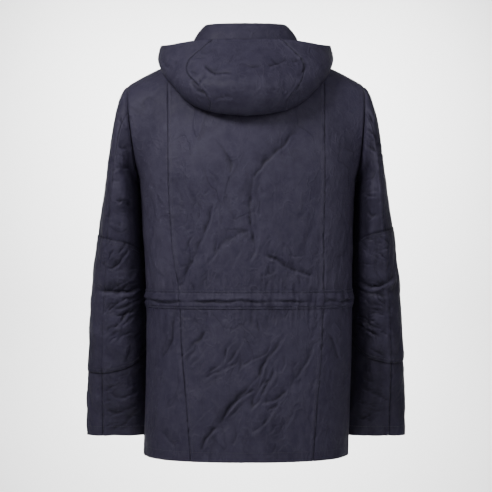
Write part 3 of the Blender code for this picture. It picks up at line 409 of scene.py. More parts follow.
FRONT_SCATTER = table(
    SCATTER_COLUMNS,
    (110, -250, 60, 80, 16, 70, 20, 18, 55, 2.4, 0.9),
    (-110, -250, 60, 80, 16, 112, 20, 18, 55, 2.4, 0.9),
    (0, -440, 170, 50, 26, 90, 24, 15, 45, 2.4, 0.8),
    (100, -640, 70, 80, 16, 125, 22, 18, 55, 2.4, 0.9),
    (-100, -640, 70, 80, 16, 60, 22, 18, 55, 2.4, 0.9),
)
SLEEVE_SCATTER = {
    LEFT: table(
        SCATTER_COLUMNS,
        (240, -230, 25, 80, 16, 5, 20, 14, 36, 2.2, 0.9),
        (240, -390, 30, 40, 16, 145, 16, 14, 42, 2.1, 1.1),
        (232, -490, 32, 55, 34, 154, 11, 16, 50, 2.1, 1.4),
        (240, -660, 35, 70, 24, 162, 14, 14, 48, 2.1, 1),
    ),
    RIGHT: table(
        SCATTER_COLUMNS,
        (-240, -230, 25, 80, 16, 165, 20, 14, 36, 2.2, 0.9),
        (-240, -390, 30, 40, 16, 30, 16, 14, 42, 2.1, 1.1),
        (-236, -490, 32, 55, 34, 20, 12, 16, 50, 2.1, 1.4),
        (-240, -660, 35, 70, 24, 15, 14, 14, 48, 2.1, 1),
    ),
}
HOOD_SCATTER = table(
    SCATTER_COLUMNS,
    (60, -60, 40, 45, 18, 140, 24, 12, 34, 2, 0.9),
    (-70, -55, 40, 45, 18, 45, 24, 12, 34, 2, 0.9),
    (0, -50, 60, 50, 14, 170, 20, 14, 38, 2, 0.7),
    (140, -20, 20, 25, 6, 60, 25, 12, 26, 2, 0.8),
    (-140, -20, 20, 25, 6, 120, 25, 12, 26, 2, 0.8),
)
SCATTER_SEEDS = {"back": 11, "front": 12, "hood": 14, "behind": 20, "ahead": 30}
SCATTER_BOW, SCATTER_WIDTHS, SCATTER_DEPTHS, SCATTER_RIDGE = 0.35, (0.8, 1.4), (0.5, 1.4), 0.6

# Profile of a crease, how its line wanders and how its depth varies.
CREASE_STEPS, CREASE_MARGIN = 16, 4
CREASE_TAPER = 0.16
CREASE_WIDTH_SHARE, CREASE_LEAST_WIDTH = 0.60, 0.0015
CREASE_CORE, CREASE_CORE_SHARE, CREASE_SKIRT = 0.6, 0.72, 2.6
CREASE_BANK, CREASE_BANK_WIDTH = 1.6, 1.2
CREASE_LIT_SIDE = (-0.6, -0.8)
CREASE_WANDER, CREASE_WANDER_SIZE, CREASE_WANDER_SEEDS = 0.0034, 0.018, (3.3, 8.4)
CREASE_VARY, CREASE_VARY_SIZE, CREASE_VARY_SEED = 0.8, 0.020, 5.7
CREASE_MEAN, CREASE_RANGE = 0.95, (0.3, 1.5)
CREASE_GAIN = {"sleeve": 1.5, "hood": 1.2}

# Crumples of the waxed cloth: size of the pattern, height, whether its crests are sharp, and how fast it changes
# upwards, next to how fast it changes across.
CRUMPLES = table(
    "size height sharp stretch",
    (80, 1.2, False, 0.6),
    (34, 1.1, True, 0.5),
    (15, 0.6, True, 0.45),
    (8, 0.22, True, 0.7),
)
CRUMPLE_SEED = 7.3
SHARP_GAIN, SHARP_FALL = 2.2, 0.55
PATCHY, PATCHY_SIZE, PATCHY_SEED = 0.5, 0.055, 19.3
CRUMPLE_GAIN = {"sleeve": 1.4, "collar": 0.5, "hood": 0.9}
HOOD_INNER_CRUMPLES = 0.25

# The upper back and the shoulders are calmer, and so is the cloth under the hood and beside the body.
CALM_FROM, CALM_RUN, CALM_SHARE = -0.34, 0.16, 0.5
UNDER_HOOD_FROM, UNDER_HOOD_RUN, UNDER_HOOD_CALM = -0.125, 0.02, 0.7
INNER_RELIEF, INNER_CALM_TO, INNER_CALM_RUN = 0.2, 13.75, 55.0

# Relief fades out towards the edges of a surface, and the hood's starts at a share of the way to its rim.
FADE = {"back": 0.020, "front": 0.022, "sleeve": 0.030, "collar": 0.012, "hood": 0.010}
SEAM_FADE = 0.01
HOOD_OUTER_FROM, HOOD_OUTER_RUN = 0.50, 0.10
BEHIND_SHARE, BEHIND_SWING = 0.2, 1.6

# Shares of the relief painted into the wax's colour: paler on rises as wear, darker in hollows as painted shade.
FOLD_TONE, CREASE_TONE, CRUMPLE_TONE, GATHER_TONE = 0.15, 1.0, 0.4, 0.6
COLLAR_TONE, COLLAR_PUCKER_TONE, HOOD_CREASE_TONE, HOOD_PUCKER_TONE = 0.6, 0.5, 1.2, 0.8
TONE_SCALE = 1000

# Gathers beside the waist channel: how the pattern and its reach are stretched, their size and seed.
GATHER_STRETCH, GATHER_SIZE, GATHER_SEED = (1, 0.2, 0.12), 0.009, 11.7
GATHER_HEIGHT, GATHER_MEAN, GATHER_GAIN = 0.0016, 0.35, 1.8
GATHER_REACH, REACH_GAIN = (0.012, 0.045), 2
REACH_STRETCH, REACH_SIZE, REACH_SEED = (1, 0, 0.2), 0.017, 3.1

# Seams: groove, the felled allowance beside it, and puckers along it.
ARMHOLE_GROOVE, ARMHOLE_REACH_IN, ARMHOLE_FADE = 0.0018, 0.0035, 0.04
SHOULDER_GROOVE, SHOULDER_GROOVE_REACH = 0.0010, 0.003
GROOVE_DEPTH, GROOVE_WIDTH = 0.0013, 0.0020
TIGHT_MEAN, TIGHT_VARY, TIGHT_SIZE, TIGHT_SEED = 0.75, 0.8, 0.045, 4.0
SEAM_SHADE = 0.9
SEAM_SEEDS = {"back": (1.7, 5.1), "sleeve": (2.3, 6.7), "hood": (8.2, 3.9)}
FELL_HEIGHT, FELL_WIDTH, FELL_EDGE = 0.0007, 0.009, 0.0015
PUCKER_HEIGHT, PUCKER_SIZE, PUCKER_REACH = 0.0010, 0.0070, 0.010
CAP_PUCKER_SIZE, CAP_PUCKER_SEED, CAP_PUCKER_REACH, CAP_PUCKER_EDGE = 0.008, 4.4, 0.012, 0.004
COLLAR_PUCKER, COLLAR_PUCKER_SIZE, COLLAR_PUCKER_SEED, COLLAR_PUCKER_EDGE = 0.0003, 0.010, 9.1, 0.003
HOOD_PUCKER_HEIGHT, HOOD_PUCKER_SIZE, HOOD_PUCKER_REACH = 0.0013, 0.0075, 0.013
HOOD_PUCKER_STRETCH, HOOD_PUCKER_SEED = (0.45, 0.45, 1), 9
HOOD_PUCKER_MEAN, HOOD_PUCKER_GAIN = 0.5, 1.9
# The groove round the elbow patch, darkened with painted shade.
PATCH_GROOVE, PATCH_GROOVE_REACH, PATCH_GROOVE_PAINTED_SHADE = 0.0011, 0.0028, 1.6
PATCH_GROOVE_FROM, PATCH_GROOVE_TO, PATCH_GROOVE_FADE = -60, 168, 8

# Shade and hollow where a sleeve hangs against the body. Each span has a start, a run in, an end and a run out.
BESIDE_TURNS, BESIDE_TURNS_END = (100.0, 158.0), 200
BESIDE_DEPTH, BESIDE_SHADE, HOLLOW_END, HOLLOW_RUN = 0.0030, 1.1, 170, 16
BODY_SIDE_SHADE, BODY_SIDE_REACH = 0.0028, 0.012
BODY_SIDE_SPAN = (CUFF, 0.02, UNDERARM + 0.04, 0.04)

# Painted shade: the right sleeve darker all over, and both sleeves darker towards the cuffs. Painted light: the sides
# of the back paler.
LOW_SLEEVE_SHADE, LOW_SLEEVE_FROM, LOW_SLEEVE_RUN = 0.0005, -0.30, 0.35
SLEEVE_SHADE = {LEFT: 0.0, RIGHT: 0.0009}
SIDE_PAINTED_LIGHT, SIDE_PAINTED_LIGHT_ACROSS, SIDE_PAINTED_LIGHT_UP = 0.0011, (0, 0.03, 0.165, 0.05), (-0.50, 0.08, -0.08, 0.14)

# Walls of the cloth and stitches.
CLOTH, COLLAR_CLOTH, HOOD_CLOTH, CHANNEL_CLOTH, PATCH_CLOTH = 0.0014, 0.0016, 0.0016, 0.0008, 0.0010
STITCH_PITCH = 0.0032
STITCH_SIZE, STITCH_LIFT = (0.00125, 0.00036, 0.00030), 0.4
TOPSTITCH_NEAR, TOPSTITCH_FAR = 0.0020, 0.0080
TOPSTITCHES = (TOPSTITCH_NEAR, TOPSTITCH_FAR)
HEM_STITCH = 0.018
FRONT_STITCH = 0.006
CUFF_STITCH = 0.020
COLLAR_STITCH = 0.006
RIM_STITCH = 0.012
HOOD_STITCH_LIFT = 0.0008

# Most cells that a row of stitches can be away from its seam.
BESIDE_CELLS = 40

# Elbow patch: height over the sleeve, dips along its stitches, and puckers.
PATCH_RISE = 0.0019
PATCH_STITCH_DIP, PATCH_STITCH_WIDTH = 0.0007, 0.0015
PATCH_PUCKER_SEED, PATCH_PUCKER_REACH, PATCH_PUCKER_EDGE = 5.5, 0.012, 0.002

# Waist channel. Its relief runs in rows: share of its height, spread and height of each.
CHANNEL_LIFT, CHANNEL_EDGE = 0.0008, 0.020
CHANNEL_SWELL, CHANNEL_SWELL_POWER = 0.0022, 0.5
CHANNEL_SLACK = (0.40, 0.075, 0.0034)
CHANNEL_LIP = (0.56, 0.12, 0.0012)
CHANNEL_ROWS, CHANNEL_ROW_SPREAD, CHANNEL_ROW_DEPTH = (0.10, 0.86), 0.035, 0.0016
CHANNEL_WANDER, CHANNEL_WANDER_SIZE, CHANNEL_WANDER_SEED = 0.10, 0.035, 2.2
UNEVEN_MEAN, UNEVEN_VARY, UNEVEN_SIZE, UNEVEN_SEED, UNEVEN_RANGE = 0.8, 1.2, 0.040, 8.8, (0.1, 1.3)
DIMPLE, DIMPLE_SIZE, DIMPLE_SEED, DIMPLE_REACH = 0.0011, 0.0055, 4.9, 2.2
CHANNEL_GATHER, CHANNEL_GATHER_STRETCH = 0.0020, (1, 0.3, 0.25)
CHANNEL_GATHER_SIZE, CHANNEL_GATHER_SEED = 0.0075, 6.6
# Painted shade in the channel's slack fold and dimples; its gathers paler on their rises as wear and darker in their
# hollows as painted shade.
SLACK_PAINTED_SHADE, CHANNEL_GATHER_TONE, DIMPLE_PAINTED_SHADE = 0.9, 0.4, 0.9
CHANNEL_STITCH_LOW, CHANNEL_STITCH_HIGH, CHANNEL_STITCH_EDGE = 0.10, 0.14, 0.0012

# Zip: teeth, the corded edges of the tapes, which carry them, and the box that holds the zip's pin at the hem.
CHAIN_FROM, CHAIN_END, CHAIN_THICKNESS = 0.0115, 0.005, 0.0024
TOOTH_PITCH, TOOTH_SIZE, TOOTH_SHIFT = 0.0013, (0.0030, 0.0009, 0.0019), 0.0012
BEAD_HALF_WIDTH, BEAD_THICKNESS, BEAD_STEP = 0.0030, 0.0008, 6
BOX_FROM, BOX_TO = 0.0015, 0.0128
BOX_WIDTH, BOX_THICKNESS, BOX_BEVEL = 0.0074, 0.0032, 0.0006

# --- colours, patterns and light --------------------------------------------------------------------------

# Dark, light and worn wax.
# Dark and light wax, and pale wax for wear and for painted light.
NAVY_COLORS = ((0.0285, 0.0248, 0.0462), (0.0368, 0.0323, 0.0582), (0.066, 0.060, 0.091))
THREAD_COLORS = ((0.026, 0.025, 0.040), (0.042, 0.040, 0.060))
TAPE_COLORS = ((0.010, 0.010, 0.015), (0.026, 0.026, 0.036))
BRASS_COLORS = ((0.17, 0.115, 0.05), (0.48, 0.36, 0.18))
PAPER_COLORS = ((0.90, 0.90, 0.90), (0.94, 0.94, 0.94))

# Noise patterns: scale, detail and roughness.
NOISES = {
    "cloud": (7.0, 4.0, 0.55), "fleck": (55.0, 5.0, 0.65), "gloss": (24.0, 6.0, 0.6), "crinkle": (130.0, 6.0, 0.75),
    "weave": (1400.0, 2.0, 0.55), "long_gaps": (9.0, 2.0, 0.55), "short_gaps": (22.0, 2.0, 0.55),
    "thread": (300.0, 3.0, 0.55), "paper": (0.6, 2.0, 0.55), "tape": (900.0, 2.0, 0.55),
    "tape_grain": (1600.0, 1.0, 0.55), "brass": (160.0, 5.0, 0.55), "brass_gloss": (220.0, 4.0, 0.55),
    "brass_grain": (700.0, 3.0, 0.55),
}

# Spreads of a value: from low and high, to low and high.
SPREADS = {
    "cloud": (0.36, 0.64, 0.0, 1.0), "fleck": (0.35, 0.70, 0.0, 1.0), "gaps": (0.42, 0.60, 0.0, 1.0),
    # The tone: paler on rises as wear and on the sides of the back as painted light, darker in hollows as painted
    # shade.
    "rubbed_and_painted_light": (0.3, 1.5, 0.0, 0.35), "pressed": (-0.4, -2.8, 0.0, 0.65),
    "gloss": (0.3, 0.7, 0.46, 0.66), "brass_gloss": (0.3, 0.7, 0.25, 0.48),
}

# Bumps: distance and strength.
BUMPS = {
    "long_lines": (0.0010, 0.5), "short_lines": (0.0008, 0.6), "crinkle": (0.0015, 0.55), "weave": (0.0003, 0.25),
    "tape_grain": (0.0002, 0.4), "brass_grain": (0.0002, 0.2),
}

# Fine crease lines: scale, stretch upwards, width, and the share of the colour that they change.
LONG_LINES, LONG_LINE_SHARE = (16.0, 0.55, 0.035), 0.30
SHORT_LINES, SHORT_LINE_SHARE = (48.0, 0.7, 0.06), 0.20
LINE_DETAIL, LINE_DISTORTION = 2.5, 0.6
FLECK_SHARE = 0.35
# Painted shade: how dark the long crease lines and the hollows are drawn, as shares of the dark wax.
LINE_PAINTED_SHADE, PAINTED_SHADE_DARK = 0.5, 0.25
WAX_SPECULAR, WAX_IOR = 0.30, 1.30
THREAD_ROUGHNESS, TAPE_ROUGHNESS, PAPER_ROUGHNESS = 0.6, 0.85, 0.9

# Camera, and the floor, which bends up into a wall: its shares that lie flat and that bend.
EYE = (-0.0006, 2.4, -0.3627)
SEEN_WIDTH = 0.959
FLOOR, FLOOR_HALF_WIDTH, FLOOR_CELLS = -2.1, 9, (2, 40)
FLAT_TO, BEND_TO = 0.4, 0.7
FLOOR_START, FLOOR_LENGTH, FLOOR_BEND, WALL_HEIGHT = 5.0, 6.5, 1.5, 5

# Lights: name, place, target, size, power and spread.
LIGHTS = (
    ("key", (1.2, 1.6, 1.05), (0.0, 0.0, -0.25), 0.8, 47.5, 180.0),
    ("fill", (-1.3, 2.1, 0.7), (0.0, 0.0, -0.2), 1.6, 22.5, 180.0),
    ("middle", (0.05, 1.5, -0.26), (0.03, 0.0, -0.28), 0.5, 0.13, 40.0),
    ("wall_left", (0.8, -1.1, 2.0), (0.5, -3.0, -0.3), 1.2, 48.0, 55.0),
    ("wall_right", (-0.8, -1.1, 2.0), (-0.5, -3.0, -0.3), 1.2, 48.0, 55.0),
)
AIR_LIGHT = 0.17


# --- curves and shares ------------------------------------------------------------------------------------


def smooth(where, stations, values):
    """Value at each place on a smooth curve through the stations' values."""
    slopes = np.gradient(values, stations)
    place = np.clip(where, stations[0], stations[-1])
    before = np.clip(np.searchsorted(stations, place, side="right") - 1, 0, len(stations) - 2)
    span = stations[before + 1] - stations[before]
    t = (place - stations[before]) / span
    start = values[before] * (1 + 2 * t) + slopes[before] * span * t
    end = values[before + 1] * (3 - 2 * t) - slopes[before + 1] * span * (1 - t)
    return start * (1 - t) ** 2 + end * t**2


def section(where, rows, name, key="height"):
    """A named size of a table's rows at each place along their key column."""
    stations, values = (np.array([row[k] for row in rows], float) for k in (key, name))
    return smooth(where, stations, values)


def bezier(t, start, leave, reach, end):
    """Points on a cubic curve, for arrays of t and of control points."""
    t = np.asarray(t)[..., None]
    return start * (1 - t) ** 3 + 3 * leave * t * (1 - t) ** 2 + 3 * reach * t**2 * (1 - t) + end * t**3


def unit(vectors):
    """The vectors at length 1."""
    return vectors / np.maximum(np.linalg.norm(vectors, axis=-1, keepdims=True), LEAST_LENGTH)


def eased(share):
    """A share from 0 to 1 that starts and ends softly."""
    t = np.clip(share, 0, 1)
    return t * t * (3 - 2 * t)


def within(value, low, run_in, high, run_out):
    """1 between two values, rising and falling softly at them."""
    return eased((value - low) / run_in) * eased((high - value) / run_out)


def bell(away, reach):
    """1 at distance 0, falling softly over the reach."""
    return np.exp(-((away / reach) ** 2))


def nearest(values, value):
    """Number of the value that comes closest."""
    return int(np.abs(values - value).argmin())


def run_along(grid, axis):
    """Distance along the cloth from the first row (axis 0) or column (axis 1)."""
    step = np.linalg.norm(np.diff(grid, axis=axis), axis=-1)
    start = np.zeros_like(step[:1] if axis == 0 else step[:, :1])
    return np.concatenate([start, np.cumsum(step, axis=axis)], axis=axis)


def along(where, run, rows):
    """Rows of numbers at each distance along a line with the given run."""
    return np.stack([np.interp(where, run, rows[:, k]) for k in range(rows.shape[1])], axis=-1)


def spline(points, count):
    """count + 1 points on a smooth curve through the given points, evenly spaced along it."""
    padded = [2 * points[0] - points[1], *points, 2 * points[-1] - points[-2]]
    t = np.linspace(0, 1, SPLINE_STEPS, endpoint=False)[:, None]
    fine = []
    for a, b, c, d in zip(padded, padded[1:], padded[2:], padded[3:]):
        fine.append(0.5 * (2 * b + (c - a) * t + (2 * a - 5 * b + 4 * c - d) * t**2 + (3 * b - a - 3 * c + d) * t**3))
    fine = np.concatenate([*fine, [points[-1]]])
    run = run_along(fine, 0)
    return along(np.linspace(0, run[-1], count + 1), run, fine)


def pattern(points, size, seed, stretch=1):
    """Smooth noise of about -1 to 1 at each point, with features of the given size."""
    flat = (points * np.array(stretch) / size + seed).reshape(-1, 3)
    return np.array([noise.noise(Vector(place)) for place in flat]).reshape(points.shape[:-1])


# --- forms ------------------------------------------------------------------------------------------------


def half_width(side, height):
    """Half width of the body on one side."""
    return section(height, BODY_SECTIONS, SIDE_NAMES[side])


def body_turn(side, face, place, height):
    """Angle on the ring for a place that runs 0 side seam, 1 side-back seam, 2 neck column, 3 middle."""
    power = section(height, BODY_SECTIONS, "power")
    width = half_width(side, height)
    if face == BACK:
        seam = section(height, SEAM_SECTIONS, SIDE_NAMES[side]) / width
        marks = (np.ones_like(seam), seam, seam * NECK_COLUMN_SHARE, np.zeros_like(seam))
    else:
        marks = [np.full_like(width, share) for share in FRONT_SEAM_SHARES] + [FRONT_EDGE / width]
    turns = [np.arccos(np.clip(mark, 0, 1) ** (power / 2)) for mark in marks]
    step = np.clip(np.floor(place).astype(int), 0, 2)
    low, high = np.choose(step, turns[:3]), np.choose(step, turns[1:])
    return low + (high - low) * (place - step), power


def body_ring(side, face, place, height):
    """Points of the body at or below the underarm."""
    turn, power = body_turn(side, face, place, height)
    depth = section(height, BODY_SECTIONS, "back" if face == BACK else "front")
    across = side * half_width(side, height) * np.cos(turn) ** (2 / power)
    back = face * depth * np.sin(turn) ** (2 / power)
    lift = HEM_LIFT * np.clip((UNDERARM - height) / (UNDERARM - HEM), 0, 1) ** 2
    return np.stack([across, back, height + lift * np.sin(turn) ** 2], axis=-1)


def body_top(side, face, place):
    """Points of the shoulder seam (place 0 to 2) and the neck seam (place 2 to 3)."""
    tip_across, tip_back, tip_height = TIP
    across = np.interp(place, (0, 1, 2), (tip_across, SIDE_BACK_SEAM_TOP, NECK_HALF_WIDTH))
    fall = (across - NECK_HALF_WIDTH) / (tip_across - NECK_HALF_WIDTH)
    height = NECK_HEIGHT + (tip_height - NECK_HEIGHT) * fall + SHOULDER_BOW * np.sin(math.pi * fall)
    shoulder = np.stack([side * across, tip_back * fall, height], axis=-1)
    turn = np.clip(place - 2, 0, 1) * math.pi / 2
    if face == FRONT:
        turn = turn * (1 - math.asin(FRONT_EDGE / NECK_HALF_WIDTH) / (math.pi / 2))
    height = NECK_HEIGHT + (NECK_MIDDLE_HEIGHT[face] - NECK_HEIGHT) * np.sin(turn) ** 2
    neck = np.stack([side * NECK_HALF_WIDTH * np.cos(turn), face * NECK_DEPTH[face] * np.sin(turn), height], axis=-1)
    return np.where((place > 2)[..., None], neck, shoulder)


def body_points(side, face, place, climb):
    """Points of one quarter of the body. climb is a height below the underarm, and above it 0 to 1."""
    lower = body_ring(side, face, place, np.minimum(climb, UNDERARM))
    start = body_ring(side, face, place, np.full_like(climb, UNDERARM))
    end = body_top(side, face, place)
    at_arm = (np.clip(1 - place, 0, 1) ** 2)[..., None]
    at_neck = np.clip(place - 2, 0, 1)[..., None]
    leave = start + UP * RISE * (1 - at_arm) + np.array([side, 1, 1]) * np.array(ARMHOLE_LEAVE[face]) * at_arm
    shoulder_reach, neck_reach = (np.array([0, *run[face]]) for run in (SHOULDER_REACH, NECK_REACH))
    inner_reach = shoulder_reach * (1 - at_neck) + neck_reach * at_neck
    reach = end + inner_reach * (1 - at_arm) + np.array(ARMHOLE_REACH[face]) * at_arm
    upper = bezier(np.clip(climb, 0, 1), start, leave, reach, end)
    return np.where((climb <= UNDERARM)[..., None], lower, upper)


def sleeve_size(side, height):
    """Middle and half sizes of the sleeve's ring at each height."""
    gap, outer, front, back = (section(height, SLEEVE_SECTIONS, name) for name in ("gap", "outer", "front", "back"))
    inner = half_width(side, height) + gap
    return (inner + outer) / 2, (outer - inner) / 2, (front + back) / 2, (back - front) / 2


def sleeve_ring(side, turn, height):
    """Points of the sleeve below the armhole. Turn is 0 outside, 90 behind and 180 next to the body."""
    middle_x, half_x, middle_y, half_y = sleeve_size(side, height)
    angle = np.radians(turn - SEAM_TURN * np.sin(np.radians(turn)))
    cos, sin = np.cos(angle), np.sin(angle)
    across = middle_x + half_x * np.sign(cos) * np.abs(cos) ** (2 / SLEEVE_POWER)
    back = half_y * np.sign(sin) * np.abs(sin) ** (2 / SLEEVE_POWER)
    tilt = section(height, SLEEVE_SECTIONS, "tilt")
    return np.stack([side * across, middle_y + back, height - tilt * back], axis=-1)


def armhole(side, turn):
    """Points of the armhole seam at each turn, behind from 0 to 180 and in front from 180 to 360."""
    behind = body_points(side, BACK, np.zeros_like(turn), np.clip(1 - turn / 180, LEAST_CLIMB, 1))
    ahead = body_points(side, FRONT, np.zeros_like(turn), np.clip(turn / 180 - 1, LEAST_CLIMB, 1))
    return np.where((turn <= 180)[..., None], behind, ahead)


def sleeve_cap(side, turn, share):
    """Points of the sleeve between the armhole (share 0) and the first ring below it (share 1)."""
    under = (1 - np.cos(np.radians(turn))) / 2
    fall = np.radians(CAP_FALL - CAP_FALL_LESS_UNDER * under)
    way = unit(np.stack([side * np.cos(fall), CAP_SWING * np.sin(np.radians(turn)), -np.sin(fall)], axis=-1))
    start = armhole(side, turn)
    end, below = (sleeve_ring(side, turn, np.full_like(turn, z)) for z in (BICEPS, BICEPS - BELOW_BICEPS))
    leave = start + way * (CAP_LEAVE - CAP_LEAVE_LESS_UNDER * under)[..., None]
    reach = end - unit(below - end) * (CAP_REACH - CAP_REACH_LESS_UNDER * under)[..., None]
    return bezier(share, start, leave, reach, end)


def patch_edge(side, turn, top):
    """Height of the upper or lower edge of the elbow patch at each turn."""
    upper, lower = PATCH_EDGES[side]
    away = np.abs((turn + 180 - PATCH_MIDDLE) % 360 - 180) / PATCH_REACH
    bend = np.minimum(away, PATCH_BEND_MOST) ** PATCH_BEND_POWER
    return upper - PATCH_TOP_CURVE * bend if top else lower + PATCH_BOTTOM_CURVE * bend


def collar_points(base, front_edge, share):
    """Points of the collar above each point of the neck seam, at a share of its height."""
    back = base[:, 1] > 0
    neck_depth, top_depth, middle_top = (
        np.where(back, sizes[BACK], sizes[FRONT]) for sizes in (NECK_DEPTH, COLLAR_TOP_DEPTH, COLLAR_MIDDLE_TOP)
    )
    top_height = COLLAR_TOP + (middle_top - COLLAR_TOP) * (base[:, 1] / neck_depth) ** 2
    shrink = COLLAR_TOP_HALF_WIDTH / NECK_HALF_WIDTH
    at_edge = np.clip(1 - (np.abs(base[:, 0]) - FRONT_EDGE) / COLLAR_EDGE_REACH, 0, 1) * ~back
    top_across = base[:, 0] * (shrink + (1 - shrink) * at_edge**2)
    top = np.stack([top_across, base[:, 1] * (top_depth / neck_depth), top_height], axis=-1)
    way_out = unit(base * LEVEL)
    way_out[front_edge] = (0, -1, 0)
    leave = base + way_out * COLLAR_FOOT_OUT + UP * COLLAR_FOOT_UP
    reach = top + way_out * COLLAR_TOP_OUT - UP * COLLAR_TOP_DOWN
    return bezier(np.full(len(base), share), base, leave, reach, top)


# --- relief -----------------------------------------------------------------------------------------------


def outward(grid, closed=False):
    """Unit normals of a grid's points, from the cells around each."""
    right, up = np.diff(grid, axis=1), np.diff(grid, axis=0)
    normals = np.zeros_like(grid)
    cell = np.cross(right[:-1], up[:, :-1]) + np.cross(right[1:], up[:, 1:])
    for rows in (slice(None, -1), slice(1, None)):
        for columns in (slice(None, -1), slice(1, None)):
            normals[rows, columns] += cell
    if closed:
        normals[:, 0] += normals[:, -1]
        normals[:, -1] = normals[:, 0]
    return unit(normals)


def crumples(points):
    """Relief of the crumpled cloth."""
    relief = np.zeros(points.shape[:-1])
    for number, crumple in enumerate(CRUMPLES):
        wave = pattern(points, crumple["size"], CRUMPLE_SEED * number, (1, 1, crumple["stretch"]))
        if crumple["sharp"]:
            wave = SHARP_GAIN * np.abs(wave) - SHARP_FALL
        relief += crumple["height"] * wave
    calm = 1 - CALM_SHARE * eased((points[..., 2] - CALM_FROM) / CALM_RUN)
    return relief * calm * (1 + PATCHY * pattern(points, PATCHY_SIZE, PATCHY_SEED))


def fold_depth(points, folds):
    """Depth at each point of the folds of one face of the body."""
    depth = np.zeros(points.shape[:-1])
    flat = points[..., (0, 2)]
    for fold in folds:
        start = np.array([fold["x0"], fold["z0"]])
        run = np.array([fold["x1"], fold["z1"]]) - start
        share = np.clip((flat - start) @ run / (run @ run), 0, 1)
        away = np.linalg.norm(flat - (start + share[..., None] * run), axis=-1)
        depth += fold["depth"] * bell(away, fold["half_width"])
    return depth


def sleeve_fold_depth(points, turns):
    """Depth of the folds round a sleeve."""
    depth = np.zeros(points.shape[:-1])
    middle = (points[..., 0].max(axis=1) + points[..., 0].min(axis=1))[:, None] / 2
    out = np.abs(points[..., 0]) - np.abs(middle)
    for fold in SLEEVE_FOLDS:
        away = (turns + 180 - fold["turn"]) % 360 - 180
        round_fade = np.clip(1 - (away / fold["half_turn"]) ** 2, 0, 1)
        above = points[..., 2] - fold["height"] + fold["slope"] * out
        depth += fold["depth"] * round_fade * bell(above, fold["half_width"])
    return depth


def scattered(areas, seed):
    """Creases of uneven length, depth and direction over each stretch of cloth in a table."""
    chance = np.random.default_rng(seed)
    creases = []
    for area in areas:
        for _ in range(area["count"]):
            shift = chance.uniform(-1, 1, 2) * (area["half_x"], area["half_z"])
            middle = np.array([area["x"], area["z"]]) + shift
            way = math.radians(area["way"] + area["vary"] * chance.normal())
            half = chance.uniform(area["short"], area["long"]) / 2
            run = half * np.array([math.cos(way), math.sin(way)])
            bow = half * chance.uniform(-SCATTER_BOW, SCATTER_BOW) * np.array([-math.sin(way), math.cos(way)])
            width = area["width"] * chance.uniform(*SCATTER_WIDTHS)
            depth = area["depth"] * chance.uniform(*SCATTER_DEPTHS)
            row = (*(middle - run), *(middle + bow), *(middle + run), width, depth, SCATTER_RIDGE)
            creases.append(dict(zip(CREASE_COLUMNS.split(), row)))
    return creases


def mirror(creases):
    """The same creases on the other side of the middle."""
    return [{name: -value if name[0] == "x" else value for name, value in crease.items()} for crease in creases]


def crease_relief(points, creases):
    """Relief of the creases: a trough along each line and a rise on its lit side."""
    wander = [pattern(points, CREASE_WANDER_SIZE, seed).ravel() for seed in CREASE_WANDER_SEEDS]
    flat = points[..., (0, 2)].reshape(-1, 2) + CREASE_WANDER * np.stack(wander, axis=-1)
    vary = CREASE_MEAN + CREASE_VARY * pattern(points, CREASE_VARY_SIZE, CREASE_VARY_SEED).ravel()
    relief = np.zeros(len(flat))
    t = np.linspace(0, 1, CREASE_STEPS + 1)[:, None]
    for crease in creases:
        start, middle, end = (np.array([crease["x" + k], crease["z" + k]]) for k in "0m1")
        bend = 2 * middle - (start + end) / 2
        line = start * (1 - t) ** 2 + 2 * bend * t * (1 - t) + end * t**2
        margin = CREASE_MARGIN * crease["width"]
        near = np.flatnonzero(((flat > line.min(0) - margin) & (flat < line.max(0) + margin)).all(axis=1))
        if not len(near):
            continue
        step = np.diff(line, axis=0)
        offset = flat[near, None] - line[:-1]
        share = np.clip((offset * step).sum(-1) / (step * step).sum(-1), 0, 1)
        foot = offset - share[..., None] * step
        away = np.linalg.norm(foot, axis=-1)
        best = away.argmin(axis=1)
        pick = np.arange(len(near))
        away, foot, share = away[pick, best], foot[pick, best], (best + share[pick, best]) / CREASE_STEPS
        square = np.array([end[1] - start[1], start[0] - end[0]])
        square = square if square @ np.array(CREASE_LIT_SIDE) > 0 else -square
        signed = away * np.sign(foot @ square)
        taper = eased(np.minimum(share, 1 - share) / CREASE_TAPER)
        width = max(CREASE_WIDTH_SHARE * crease["width"], CREASE_LEAST_WIDTH)
        core = CREASE_CORE_SHARE * np.exp(-away / (CREASE_CORE * width))
        trough = core + (1 - CREASE_CORE_SHARE) * bell(away, CREASE_SKIRT * width)
        bank = bell(signed - CREASE_BANK * width, CREASE_BANK_WIDTH * width)
        relief[near] += crease["depth"] * taper * (crease["ridge"] * bank - trough)
    return (relief * np.clip(vary, *CREASE_RANGE)).reshape(points.shape[:-1])


def seam_relief(points, away, seed):
    """Relief beside a seam: a groove, the felled allowance on its positive side, and puckers."""
    tightness = TIGHT_MEAN + TIGHT_VARY * pattern(points, TIGHT_SIZE, seed + TIGHT_SEED)
    groove = -GROOVE_DEPTH * tightness * bell(away, GROOVE_WIDTH)
    fell = FELL_HEIGHT * within(away, 0, FELL_EDGE, FELL_WIDTH, FELL_EDGE)
    pucker = PUCKER_HEIGHT * pattern(points, PUCKER_SIZE, seed) * bell(away, PUCKER_REACH)
    return groove + fell + pucker


def gathers(points):
    """Relief of the uneven gathers that the waist channel draws in above and below it."""
    middle, half = (CHANNEL_LOW + CHANNEL_HIGH) / 2, (CHANNEL_HIGH - CHANNEL_LOW) / 2
    away = np.maximum(np.abs(points[..., 2] - middle) - half, 0)
    near, far = GATHER_REACH
    share = REACH_GAIN * np.abs(pattern(points, REACH_SIZE, REACH_SEED, REACH_STRETCH))
    reach = near + (far - near) * share
    wave = GATHER_MEAN - GATHER_GAIN * np.abs(pattern(points, GATHER_SIZE, GATHER_SEED, GATHER_STRETCH))
    return GATHER_HEIGHT * wave * bell(away, reach)


# --- surfaces ---------------------------------------------------------------------------------------------


